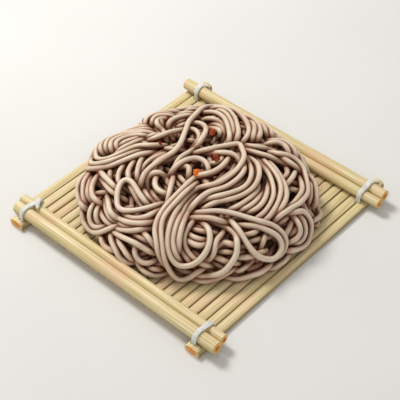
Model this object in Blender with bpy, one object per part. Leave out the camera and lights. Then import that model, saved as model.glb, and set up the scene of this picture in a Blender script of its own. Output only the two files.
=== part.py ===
"""Zaru soba: a heap of cooked buckwheat noodles on a square bamboo mat.

The mat is 24 flat split-bamboo slats side by side along Y, on which round bamboo rods lie
along X: a pair at the near edge and a pair at the far edge.  Two slats are longer than the
rest and stick out past the rods.  At the mat's four corners a cotton lashing ties the rods
to a long slat: it goes over the rods, down through slots and back in a groove underneath.

Frame: metres, +Z up, the origin on the resting surface under the middle of the mat.
"""
import math

import bmesh
import bpy
import numpy as np

MM = 0.001
GAP = 0.3 * MM                      # play between pieces that touch

# Slats: flat underneath, rounded on top
SLAT_COUNT = 24
SLAT_PITCH = 7.52 * MM
SLAT_SEAM = 0.36 * MM               # open line between two slats
SLAT_THICKNESS = 4.0 * MM           # at the crown of the thickest slat
THICKNESS_SPREAD = 0.5 * MM         # a slat is up to this much thinner than the thickest
WIDTH_SPREAD = 0.24 * MM            # a slat is up to this much narrower than the widest
END_STAGGER = 0.5 * MM              # the short slats' ends lie this far in or out of line
SLAT_SHOULDER = 0.62                # height of a slat's side, as a share of its thickness
SLAT_ARRIS = 0.4 * MM               # chamfer of the lower edges
CROWN_STEPS = 6
BED_LEFT = -93.9 * MM               # outer edge of the first slat
LONG_SLAT_END = 100.0 * MM
LEFT_LONG_SLAT = 2                  # numbers of the two slats that stick out past the rods
RIGHT_LONG_SLAT = SLAT_COUNT
# the ends of the two long slats keep more of the culm's width: left and right edge of each
NEAR_HEADS = {LEFT_LONG_SLAT: (-88.2 * MM, -76.4 * MM), RIGHT_LONG_SLAT: (75.6 * MM, 87.1 * MM)}
FAR_HEADS = {LEFT_LONG_SLAT: (-88.0 * MM, -79.2 * MM), RIGHT_LONG_SLAT: (75.8 * MM, 84.4 * MM)}
NEAR_HEAD_THICKNESS = 6.2 * MM
FAR_HEAD_THICKNESS = 8.5 * MM
HEAD_ROOT = -92.0 * MM              # where a near head narrows, hidden under the outer rod
HEAD_STEP = 0.3 * MM                # run of each change in width or thickness

# Rods: on top of the slats, cut square, with a shallow pith hollow in each end
ROD_END = 94.8 * MM
ROD_SPANS = {
    "near_outer": (-90.2 * MM, ROD_END),
    "near_inner": (-94.0 * MM, 93.2 * MM),
    "far_outer": (-ROD_END, 93.4 * MM),
    "far_inner": (-28.0 * MM, ROD_END),       # shorter: it starts under the noodles
}
ROD_SIDES = 16
OUTER_ROD_RADIUS = 4.35 * MM
INNER_ROD_RADIUS = 3.6 * MM
ROD_BASE = SLAT_THICKNESS + GAP
ROD_ARRIS = 0.4 * MM
HOLLOW_SHARE = 0.45                 # radius of the pith hollow, as a share of the rod's
HOLLOW_DEPTH = 1.5 * MM
NEAR_OUTER_Y = -91.0 * MM
FAR_OUTER_Y = 87.9 * MM
PAIR_PITCH = OUTER_ROD_RADIUS + INNER_ROD_RADIUS + GAP
NEAR_INNER_Y = NEAR_OUTER_Y + PAIR_PITCH
FAR_INNER_Y = FAR_OUTER_Y - PAIR_PITCH

# Lashings: a flat cotton cord, one closed turn at each corner
CORD_WIDTH = 4.0 * MM
CORD_THICKNESS = 1.3 * MM
CORD_TURN_STEPS = 28
CORD_CORNER_RADIUS = 0.9 * MM
CORD_FLAT_SHARE = 0.6               # flat middle of the cord, as a share of its width
LEFT_LASH_X = -80.6 * MM
RIGHT_LASH_X = 79.9 * MM
FAR_LASH_REACH = 8.6 * MM           # the far lashings also go over the raised slat ends
SLOT_OVERRUN = 2.0 * MM             # how far a slot's cutter runs on past the slats

# Noodle heap
HEAP_BASE = SLAT_THICKNESS + GAP
HEAP_HEIGHT = 37.0 * MM
HEAP_MIDDLE_Y = 1.4 * MM
HEAP_BLUNTNESS = 2.3                # the larger, the flatter the top
HEAP_SIDE_POWER = 0.38              # the smaller, the steeper the side
# reach of the uneven outline from the middle, every 15 degrees anticlockwise from +X
HEAP_REACH = [81, 81, 83, 84, 83, 83, 82, 83, 86, 87, 86, 85,
              87, 82, 84, 82, 83, 80, 87, 82, 74, 77, 77, 80]
HEAP_RINGS = 30
HEAP_SIDES = 6                      # the first ring's points; each ring has this many more
RING_CROWDING = 1.35                # the nearer to a quarter turn, the closer the outer rings
LOW_RIM = 0.5                       # below this share of the height the locks die away
LOCK_WIDTH = 6.6 * MM               # half width of a lock of noodles
LOCK_DEPTH = 5.4 * MM               # from the crest of a lock to the furrow beside it
CREST_SHARE = 0.45                  # part of that depth that stands above the plain mound
LOCK_SAMPLES = 40
OVERHANG_STEPS = 6                  # facets of the noodles' underside round a rod
OVERHANG_REACH = 20.0 * MM          # the room for a rod goes on outwards at least this far
# plan routes of the locks that lie on top, in millimetres from the heap's middle
LOCKS = (
    ((-8, 14), (2, 30), (18, 26), (30, 8), (26, -14), (14, -34), (16, -58), (34, -68)),
    ((0, 16), (14, 12), (19, -4), (8, -24), (4, -46), (12, -66)),
    ((16, 36), (38, 28), (46, 4), (38, -18), (24, -38), (30, -56)),
    ((30, 36), (52, 22), (60, -4), (48, -26)),
    ((-66, 54), (-48, 38), (-34, 14), (-28, -8), (-32, -26)),
    ((-36, 34), (-22, 30), (-17, 8), (-12, -18), (0, -38)),
    ((-78, 36), (-64, 22), (-46, 8)),
    ((-82, 14), (-66, 4), (-50, 4)),
    ((-82, -4), (-72, -26), (-56, -32), (-40, -14), (-30, -4)),
    ((-78, -34), (-56, -44), (-30, -60), (-4, -62), (4, -48)),
    ((-66, -52), (-40, -70), (-10, -74), (20, -76)),
    ((-40, -10), (-30, -32), (-12, -48), (2, -50)),
    ((-18, -26), (-8, -36), (4, -40)),
    ((32, -34), (44, -44), (42, -56), (26, -62)),
    ((36, -18), (60, -8), (76, -2), (74, -20), (58, -26)),
    ((54, -52), (66, -38), (76, -22)),
    ((-46, 76), (-20, 58), (-2, 40)),
    ((-24, 78), (0, 58), (12, 44)),
    ((4, 80), (26, 60), (46, 54), (60, 40), (64, 18)),
    ((40, 70), (62, 52), (74, 30), (78, 8)),
    ((-30, 44), (-14, 46), (-4, 34)),
    ((-72, 60), (-54, 66), (-34, 54)),
)

BAMBOO = (0.80, 0.66, 0.37)
BAMBOO_ROD = (0.82, 0.69, 0.42)
COTTON = (0.80, 0.80, 0.76)
SOBA = (0.60, 0.44, 0.36)


def clear_scene():
    for item in list(bpy.data.objects):
        bpy.data.objects.remove(item, do_unlink=True)


def make_material(name, colour, roughness):
    material = bpy.data.materials.new(name)
    material.use_nodes = True
    shader = material.node_tree.nodes["Principled BSDF"]
    shader.inputs["Base Color"].default_value = (*colour, 1.0)
    shader.inputs["Roughness"].default_value = roughness
    shader.inputs["Metallic"].default_value = 0.0
    material.diffuse_color = (*colour, 1.0)
    return material


def add_object(name, mesh):
    item = bpy.data.objects.new(name, mesh)
    bpy.context.scene.collection.objects.link(item)
    return item


def finish_mesh(name, shape, smooth_angle=math.radians(35)):
    """Turns a bmesh into a mesh with outward faces and smooth shading on round sides."""
    bmesh.ops.recalc_face_normals(shape, faces=shape.faces)
    mesh = bpy.data.meshes.new(name)
    shape.to_mesh(mesh)
    shape.free()
    mesh.shade_smooth()
    mesh.set_sharp_from_angle(angle=smooth_angle)
    return mesh


def loft_rings(name, rings, closed=False):
    """A solid skin through rings of points; open ends get a cap, a closed row of rings none."""
    shape = bmesh.new()
    loops = [[shape.verts.new(point) for point in ring] for ring in rings]
    pairs = list(zip(loops, loops[1:]))
    if closed:
        pairs.append((loops[-1], loops[0]))
    else:
        shape.faces.new(loops[0])
        shape.faces.new(loops[-1])
    count = len(loops[0])
    for first, second in pairs:
        for index in range(count):
            after = (index + 1) % count
            shape.faces.new((first[index], first[after], second[after], second[index]))
    return finish_mesh(name, shape)


def cut_away(item, cutter):
    """Leaves the room that the cutter takes free; the cutter stays as a hidden guide."""
    cutter.hide_render = True
    cutter.display_type = 'WIRE'
    modifier = item.modifiers.new("clear_of_" + cutter.name, 'BOOLEAN')
    modifier.operation = 'DIFFERENCE'
    modifier.solver = 'EXACT'
    modifier.object = cutter


# ---------------------------------------------------------------- slats

def slat_name(number):
    return f"slat_{number:02d}"


def uneven(number, stride):
    """A share from 0 to 1 that changes from slat to slat without a plain rhythm."""
    return 0.5 + 0.5 * math.sin(stride * number + 1.0)


def slat_section(y, left, right, thickness):
    """Cross-section of a split-bamboo slat: flat underside, straight sides, rounded top."""
    shoulder = thickness * SLAT_SHOULDER
    points = [
        (left, y, SLAT_ARRIS),
        (left + SLAT_ARRIS, y, 0.0),
        (right - SLAT_ARRIS, y, 0.0),
        (right, y, SLAT_ARRIS),
    ]
    for step in range(CROWN_STEPS + 1):
        turn = math.pi * step / CROWN_STEPS
        across = (right + left + (right - left) * math.cos(turn)) / 2
        points.append((across, y, shoulder + (thickness - shoulder) * math.sin(turn)))
    return points


def build_slat(number, material):
    centre = BED_LEFT + (number - 0.5) * SLAT_PITCH
    half_width = (SLAT_PITCH - SLAT_SEAM - WIDTH_SPREAD * uneven(number, 2.4)) / 2
    thickness = SLAT_THICKNESS - THICKNESS_SPREAD * uneven(number, 1.7)
    left = centre - half_width
    right = centre + half_width
    if number in NEAR_HEADS:
        near_left, near_right = NEAR_HEADS[number]
        far_left, far_right = FAR_HEADS[number]
        near_stop = NEAR_OUTER_Y - OUTER_ROD_RADIUS - GAP
        far_stop = FAR_OUTER_Y + OUTER_ROD_RADIUS + GAP
        sections = [
            slat_section(-LONG_SLAT_END, near_left, near_right, NEAR_HEAD_THICKNESS),
            slat_section(near_stop - HEAD_STEP, near_left, near_right, NEAR_HEAD_THICKNESS),
            slat_section(near_stop, near_left, near_right, SLAT_THICKNESS),
            slat_section(HEAD_ROOT, near_left, near_right, SLAT_THICKNESS),
            slat_section(HEAD_ROOT + HEAD_STEP, left, right, thickness),
            slat_section(far_stop, left, right, thickness),
            slat_section(far_stop + HEAD_STEP, far_left, far_right, FAR_HEAD_THICKNESS),
            slat_section(LONG_SLAT_END, far_left, far_right, FAR_HEAD_THICKNESS),
        ]
    else:
        stagger = END_STAGGER * (2 * uneven(number, 3.7) - 1)
        sections = [
            slat_section(NEAR_OUTER_Y + stagger, left, right, thickness),
            slat_section(FAR_OUTER_Y + stagger, left, right, thickness),
        ]
    item = add_object(slat_name(number), loft_rings(slat_name(number), sections))
    item.data.materials.append(material)
    return item


# ---------------------------------------------------------------- rods

def build_rod(name, radius, y, start, end, material):
    """A round rod along X with broken edges and a pith hollow in both ends."""
    hollow = radius * HOLLOW_SHARE
    profile = [
        (start + HOLLOW_DEPTH, 0.0),
        (start + HOLLOW_DEPTH, hollow),
        (start, hollow),
        (start, radius - ROD_ARRIS),
        (start + ROD_ARRIS, radius),
        (end - ROD_ARRIS, radius),
        (end, radius - ROD_ARRIS),
        (end, hollow),
        (end - HOLLOW_DEPTH, hollow),
        (end - HOLLOW_DEPTH, 0.0),
    ]
    shape = bmesh.new()
    verts = [shape.verts.new((x, 0.0, away)) for x, away in profile]
    edges = [shape.edges.new(pair) for pair in zip(verts, verts[1:])]
    bmesh.ops.spin(shape, geom=verts + edges, cent=(0, 0, 0), axis=(1, 0, 0), dvec=(0, 0, 0),
                   angle=2 * math.pi, steps=ROD_SIDES, use_merge=True)
    bmesh.ops.remove_doubles(shape, verts=shape.verts, dist=0.01 * MM)
    item = add_object(name, finish_mesh(name, shape))
    item.location = (0.0, y, ROD_BASE + radius)
    item.data.materials.append(material)
    return item


# ---------------------------------------------------------------- lashings

def turn_around(circles, steps):
    """Points and outward normals, in the YZ plane, of a cord drawn tight round some circles."""
    outline = []
    for step in range(steps):
        angle = 2 * math.pi * step / steps
        normal = (math.cos(angle), math.sin(angle))
        y, z, radius = max(circles, key=lambda c: c[0] * normal[0] + c[1] * normal[1] + c[2])
        outline.append(((y + radius * normal[0], z + radius * normal[1]), normal))
    return outline


def lash_legs(rods, outward, head_reach):
    """Y of the two upright legs of a turn, outer one first; rods are (y, radius) pairs."""
    reach = GAP + CORD_THICKNESS / 2
    outer_y, outer_radius = rods[0]
    inner_y, inner_radius = rods[-1]
    outer_leg = outer_y + outward * max(outer_radius + reach, head_reach)
    return outer_leg, inner_y - outward * (inner_radius + reach)


def build_lashing(name, x, rods, outward, head_reach, material):
    """One closed turn of flat cord over the rods and under the slats."""
    reach = GAP + CORD_THICKNESS / 2
    outer_leg, inner_leg = lash_legs(rods, outward, head_reach)
    outer_bend = outer_leg - outward * CORD_CORNER_RADIUS
    inner_bend = inner_leg + outward * CORD_CORNER_RADIUS
    low = reach + CORD_CORNER_RADIUS
    circles = [(y, ROD_BASE + radius, radius + reach) for y, radius in rods]
    circles.append((outer_bend, low, CORD_CORNER_RADIUS))
    circles.append((inner_bend, low, CORD_CORNER_RADIUS))
    if head_reach > 0.0:
        over_head = FAR_HEAD_THICKNESS + reach - CORD_CORNER_RADIUS
        circles.append((outer_bend, over_head, CORD_CORNER_RADIUS))
    half_width = CORD_WIDTH / 2
    half_depth = CORD_THICKNESS / 2
    rim = half_width * CORD_FLAT_SHARE
    section = [(-half_width, 0.0), (-rim, half_depth), (rim, half_depth),
               (half_width, 0.0), (rim, -half_depth), (-rim, -half_depth)]
    rings = []
    for (y, z), (normal_y, normal_z) in turn_around(circles, CORD_TURN_STEPS):
        rings.append([(x + across, y + out * normal_y, z + out * normal_z)
                      for across, out in section])
    item = add_object(name, loft_rings(name, rings, closed=True))
    item.data.materials.append(material)
    return item


def build_lash_clearance(name, x, rods, outward, head_reach):
    """The slots and the underside groove that a turn of cord needs in the slats."""
    room = CORD_THICKNESS / 2 + GAP
    outer_leg, inner_leg = lash_legs(rods, outward, head_reach)
    above = FAR_HEAD_THICKNESS + SLOT_OVERRUN
    below = -SLOT_OVERRUN
    groove = CORD_THICKNESS + 2 * GAP
    outline = [
        (outer_leg + outward * room, above),
        (outer_leg + outward * room, below),
        (inner_leg - outward * room, below),
        (inner_leg - outward * room, above),
        (inner_leg + outward * room, above),
        (inner_leg + outward * room, groove),
        (outer_leg - outward * room, groove),
        (outer_leg - outward * room, above),
    ]
    half = CORD_WIDTH / 2 + GAP
    rings = [[(x + side, y, z) for y, z in outline] for side in (-half, half)]
    return add_object(name, loft_rings(name, rings))


# ---------------------------------------------------------------- noodle heap

def smooth_route(points, samples):
    """Catmull-Rom curve through plan points given in millimetres; samples in metres."""
    points = np.array(points, dtype=float) * MM
    padded = np.vstack([2 * points[0] - points[1], points, 2 * points[-1] - points[-2]])
    spans = np.linspace(0, len(points) - 1 - 1e-6, samples)
    index = spans.astype(int)
    t = (spans - index)[:, None]
    p0, p1, p2, p3 = (padded[index + k] for k in range(4))
    return p1 + 0.5 * t * (p2 - p0 + t * (2 * p0 - 5 * p1 + 4 * p2 - p3
                                          + t * (3 * (p1 - p2) + p3 - p0)))


def heap_reach(angle):
    """Radius of the heap's outline at an angle, smooth between the given reaches."""
    reach = np.array(HEAP_REACH, dtype=float) * MM
    place = (angle % (2 * math.pi)) / (2 * math.pi) * len(reach)
    index = int(place)
    t = place - index
    p0, p1, p2, p3 = (reach[(index + k) % len(reach)] for k in (-1, 0, 1, 2))
    return p1 + 0.5 * t * (p2 - p0 + t * (2 * p0 - 5 * p1 + 4 * p2 - p3
                                          + t * (3 * (p1 - p2) + p3 - p0)))


def lock_relief(x, y, routes):
    """Rise of the surface over the nearest lock, or its drop in the furrow beside it."""
    nearest = min(float(np.min(np.hypot(route[:, 0] - x, route[:, 1] - y))) for route in routes)
    across = min(nearest / LOCK_WIDTH, 1.0)
    rounded = 0.5 + 0.5 * math.cos(math.pi * across)
    return LOCK_DEPTH * (rounded - 1.0 + CREST_SHARE)


def heap_point(share, angle, routes):
    """A point of the heap's top skin, with the locks standing out along the mound's normal."""
    reach = heap_reach(angle)
    slope_out = share ** HEAP_BLUNTNESS
    rise = max(1.0 - slope_out, 0.0) ** HEAP_SIDE_POWER
    x = share * reach * math.cos(angle)
    y = share * reach * math.sin(angle)
    relief = lock_relief(x, y, routes)
    lean = slope_out ** 2
    outward = relief * lean
    upward = relief * (1.0 - lean) * min(1.0, rise / LOW_RIM)
    return (x + outward * math.cos(angle), HEAP_MIDDLE_Y + y + outward * math.sin(angle),
            HEAP_BASE + HEAP_HEIGHT * rise + upward)


def build_heap(material):
    """Closed mound: a skin of even triangles with the relief of the locks, and a flat underside."""
    routes = [smooth_route(lock, LOCK_SAMPLES) for lock in LOCKS]
    shape = bmesh.new()
    inner = [shape.verts.new(heap_point(0.0, 0.0, routes))]
    for ring in range(1, HEAP_RINGS + 1):
        share = math.sin(RING_CROWDING * ring / HEAP_RINGS) / math.sin(RING_CROWDING)
        count = HEAP_SIDES * ring
        outer = []
        for place in range(count):
            angle = 2 * math.pi * place / count
            outer.append(shape.verts.new(heap_point(share, angle, routes)))
        for place in range(count):
            side, step = divmod(place, ring)
            start = side * (ring - 1) + step
            after = outer[(place + 1) % count]
            shape.faces.new((outer[place], after, inner[start % len(inner)]))
            if step < ring - 1:
                shape.faces.new((after, inner[(start + 1) % len(inner)], inner[start]))
        inner = outer
    middle = shape.verts.new((0.0, HEAP_MIDDLE_Y, HEAP_BASE))
    for place, vert in enumerate(inner):
        shape.faces.new((middle, inner[(place + 1) % len(inner)], vert))
    item = add_object("noodle_heap", finish_mesh("noodle_heap", shape, math.radians(60)))
    item.data.materials.append(material)
    return item


def build_rod_clearance(name, y, outward, start, end):
    """Room for an inner rod under the noodles that hang over it, out past the mat's edge."""
    radius = INNER_ROD_RADIUS + GAP
    height = ROD_BASE + INNER_ROD_RADIUS
    swell = radius / math.cos(0.25 * math.pi / OVERHANG_STEPS)
    outline = [(y - outward * radius, 0.0)]
    for step in range(OVERHANG_STEPS + 1):
        turn = 0.5 * math.pi * step / OVERHANG_STEPS
        outline.append((y - outward * swell * math.cos(turn), height + swell * math.sin(turn)))
    outline.append((y + outward * OVERHANG_REACH, height + radius))
    outline.append((y + outward * OVERHANG_REACH, 0.0))
    rings = [[(x, across, z) for across, z in outline] for x in (start, end)]
    return add_object(name, loft_rings(name, rings))


# ---------------------------------------------------------------- the whole

def build_all():
    clear_scene()
    slat_material = make_material("split_bamboo", BAMBOO, 0.55)
    rod_material = make_material("bamboo_rod", BAMBOO_ROD, 0.5)
    cord_material = make_material("cotton_cord", COTTON, 0.85)
    noodle_material = make_material("cooked_soba", SOBA, 0.35)

    slats = {number: build_slat(number, slat_material) for number in range(1, SLAT_COUNT + 1)}

    near_pair = [(NEAR_OUTER_Y, OUTER_ROD_RADIUS), (NEAR_INNER_Y, INNER_ROD_RADIUS)]
    far_pair = [(FAR_OUTER_Y, OUTER_ROD_RADIUS), (FAR_INNER_Y, INNER_ROD_RADIUS)]
    places = zip(ROD_SPANS.items(), near_pair + far_pair)
    for (place, (start, end)), (y, radius) in places:
        build_rod("rod_" + place, radius, y, start, end, rod_material)

    left_slats = (LEFT_LONG_SLAT, LEFT_LONG_SLAT + 1)
    right_slats = (RIGHT_LONG_SLAT - 1, RIGHT_LONG_SLAT)
    corners = (
        ("near_left", LEFT_LASH_X, near_pair, -1, 0.0, left_slats),
        ("near_right", RIGHT_LASH_X, near_pair, -1, 0.0, right_slats),
        ("far_left", LEFT_LASH_X, far_pair[:1], 1, FAR_LASH_REACH, left_slats),
        ("far_right", RIGHT_LASH_X, far_pair, 1, FAR_LASH_REACH, right_slats),
    )
    for corner, x, rods, outward, head_reach, cut_slats in corners:
        build_lashing("lashing_" + corner, x, rods, outward, head_reach, cord_material)
        clearance = build_lash_clearance("slot_" + corner, x, rods, outward, head_reach)
        for number in cut_slats:
            cut_away(slats[number], clearance)

    heap = build_heap(noodle_material)
    past = ROD_END + OVERHANG_REACH
    cut_away(heap, build_rod_clearance("room_near", NEAR_INNER_Y, -1, -past, past))
    far_start = ROD_SPANS["far_inner"][0] - GAP
    cut_away(heap, build_rod_clearance("room_far", FAR_INNER_Y, 1, far_start, past))


build_all()
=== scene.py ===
"""Zaru soba: the looks of the noodles, the bamboo mat and its cords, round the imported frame."""
import math

import bpy
import numpy as np
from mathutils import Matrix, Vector
from mathutils.bvhtree import BVHTree
from mathutils.kdtree import KDTree


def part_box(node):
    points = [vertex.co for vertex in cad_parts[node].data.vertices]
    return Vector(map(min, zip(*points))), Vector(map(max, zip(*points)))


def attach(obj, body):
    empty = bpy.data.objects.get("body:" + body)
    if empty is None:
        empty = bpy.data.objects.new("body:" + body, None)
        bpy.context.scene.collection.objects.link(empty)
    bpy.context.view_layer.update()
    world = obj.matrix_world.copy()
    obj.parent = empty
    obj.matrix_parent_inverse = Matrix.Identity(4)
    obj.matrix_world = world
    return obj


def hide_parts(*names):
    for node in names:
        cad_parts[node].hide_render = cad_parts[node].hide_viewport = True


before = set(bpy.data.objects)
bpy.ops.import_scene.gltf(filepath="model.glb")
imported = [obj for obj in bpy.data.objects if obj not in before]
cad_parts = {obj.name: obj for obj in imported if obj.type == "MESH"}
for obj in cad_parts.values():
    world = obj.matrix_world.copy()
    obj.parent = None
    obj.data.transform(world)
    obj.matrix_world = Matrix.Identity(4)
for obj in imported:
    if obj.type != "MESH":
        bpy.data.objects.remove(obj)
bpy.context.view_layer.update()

MM = 0.001
FULL_TURN = 2 * math.pi

# ---- the heap's skin
# A place on the heap is given as (u, v): the way from the crown along the skin, in plan
# direction, so the mound is unrolled into a flat disc.

heap_low, heap_high = (np.array(corner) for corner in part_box("noodle_heap"))
HEAP_MIDDLE = (heap_low + heap_high) / 2
HEAP_FOOT = heap_low[2]
SKIN_REACH = 83.0 * MM              # from the middle to the rim, on average
SKIN_HEIGHT = 37.0 * MM
SKIN_BLUNTNESS = 2.3                # the larger, the flatter the top
SKIN_SIDE_POWER = 0.38              # the smaller, the steeper the side
SKIN_APRON = 25.0 * MM              # the skin goes on over the mat this far
SKIN_STEP = 0.5 * MM                # between two points of the profile
SKIN_SOFTENING = 2.5 * MM
OUTLINE_STEPS = 24
OUTLINE_RELIEF = 1.5 * MM           # the furrows make the solid's outline stand out this much
FOOT_STARTS = 0.75                  # share of the reach from which the spurs show

# Where the heap bulges out of the even mound, or is hollow: unrolled place, spread, height, in mm.
BULGES = ((-79, -24, 13, 7.0), (-67, 24, 8, 3.5), (-70, 4, 8, -2.0), (-28, 72, 16, 2.0), (24, 74, 14, 2.5))
# Where the foot of the heap lies further out, or in: direction and spread in degrees, reach in mm.
SPURS = ((217, 7.5, 7.0), (236, 8, 3.5), (258, 7, 3.0), (56, 9, -3.0))


def unit(vectors):
    """Rows of vectors at length one."""
    return vectors / np.linalg.norm(vectors, axis=1, keepdims=True)


def bell(apart, spread):
    """Bell curve, 1 at its middle."""
    return np.exp(-0.5 * (apart / spread) ** 2)


def between(p0, p1, p2, p3, t):
    """Smooth value a share t of the way from p1 to p2, by Catmull and Rom."""
    cubic = 2 * p0 - 5 * p1 + 4 * p2 - p3 + t * (3 * (p1 - p2) + p3 - p0)
    return p1 + 0.5 * t * (p2 - p0 + t * cubic)


def way_along(line):
    """Way from the first point of a line to each of its points."""
    return np.concatenate([[0.0], np.cumsum(np.linalg.norm(np.diff(line, axis=0), axis=1))])


def at_ways(even, way, columns):
    """The columns of a line at other ways along it."""
    return np.stack([np.interp(even, way, column) for column in columns.T], axis=1)


def skin_profile():
    """Way along the skin, distance from the axis and height, from the crown to the mat."""
    out = np.sin(np.linspace(0.0, math.pi / 2, 2001))
    up = SKIN_HEIGHT * (1.0 - out ** SKIN_BLUNTNESS) ** SKIN_SIDE_POWER
    apron = np.linspace(0.0, SKIN_APRON, 200)[1:]
    out = np.concatenate([out * SKIN_REACH, SKIN_REACH + apron])
    up = np.concatenate([up, np.zeros(len(apron))])
    way = np.concatenate([[0.0], np.cumsum(np.hypot(np.diff(out), np.diff(up)))])
    even = np.arange(0.0, way[-1], SKIN_STEP)
    reach = int(3 * SKIN_SOFTENING / SKIN_STEP)
    weight = bell(np.arange(-reach, reach + 1) * SKIN_STEP, SKIN_SOFTENING)
    weight /= weight.sum()
    out = np.interp(even, way, out)
    up = np.interp(even, way, up)
    beyond = out[-1] + np.arange(1, reach + 1) * SKIN_STEP
    out = np.concatenate([-out[reach:0:-1], out, beyond])
    up = np.concatenate([up[reach:0:-1], up, np.full(reach, up[-1])])
    return even, np.convolve(out, weight, "valid"), np.convolve(up, weight, "valid")


def measure_outline():
    """Reach of the heap's solid from its middle, in even directions anticlockwise from +X."""
    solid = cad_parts["noodle_heap"].data
    points = np.array([vert.co for vert in solid.vertices]) - HEAP_MIDDLE
    turn = np.arctan2(points[:, 1], points[:, 0]) / FULL_TURN * OUTLINE_STEPS
    sector = np.round(turn).astype(int) % OUTLINE_STEPS
    away = np.hypot(points[:, 0], points[:, 1])
    return np.array([away[sector == step].max() for step in range(OUTLINE_STEPS)]) - OUTLINE_RELIEF


SKIN_WAY, SKIN_OUT, SKIN_UP = skin_profile()
OUTLINE = measure_outline()
RIM_WAY = float(np.interp(SKIN_REACH, SKIN_OUT, SKIN_WAY))


def outline_reach(angle):
    """Smooth reach of the outline at some angles, between the measured directions."""
    place = (angle % FULL_TURN) / FULL_TURN * OUTLINE_STEPS
    index = place.astype(int)
    return between(*(OUTLINE[(index + k) % OUTLINE_STEPS] for k in (-1, 0, 1, 2)), place - index)


def even_skin(places):
    """Points of the even mound at unrolled places."""
    way = np.hypot(places[:, 0], places[:, 1])
    angle = np.arctan2(places[:, 1], places[:, 0])
    nominal = np.interp(way, SKIN_WAY, SKIN_OUT)
    share = np.minimum(nominal / SKIN_REACH, 1.0)
    out = share * outline_reach(angle) + np.maximum(nominal - SKIN_REACH, 0.0)
    near_foot = np.clip((share - FOOT_STARTS) / (1.0 - FOOT_STARTS), 0.0, 1.0) ** 2
    for heading, spread, extra in SPURS:
        apart = (np.degrees(angle) - heading + 180.0) % 360.0 - 180.0
        out += extra * MM * bell(apart, spread) * near_foot
    up = np.interp(way, SKIN_WAY, SKIN_UP)
    return np.stack([HEAP_MIDDLE[0] + out * np.cos(angle), HEAP_MIDDLE[1] + out * np.sin(angle),
                     HEAP_FOOT + up], axis=1)


def normals(surface, places, step=1.0 * MM):
    """Outward normals of a surface at unrolled places."""
    du, dv = (surface(places + shift) - surface(places - shift) for shift in np.eye(2) * step)
    return unit(np.cross(du, dv))


def skin_point(places):
    """Points of the skin, which is the mound with its bulges, at unrolled places."""
    height = np.zeros(len(places))
    for u, v, spread, peak in BULGES:
        away = np.hypot(places[:, 0] - u * MM, places[:, 1] - v * MM)
        height += peak * MM * bell(away, spread * MM)
    return even_skin(places) + normals(even_skin, places) * height[:, None]


def skin_normal(places):
    return normals(skin_point, places)


# ---- routes of the noodles
# Unrolled places in millimetres, in the order in which the noodles are laid.

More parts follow.
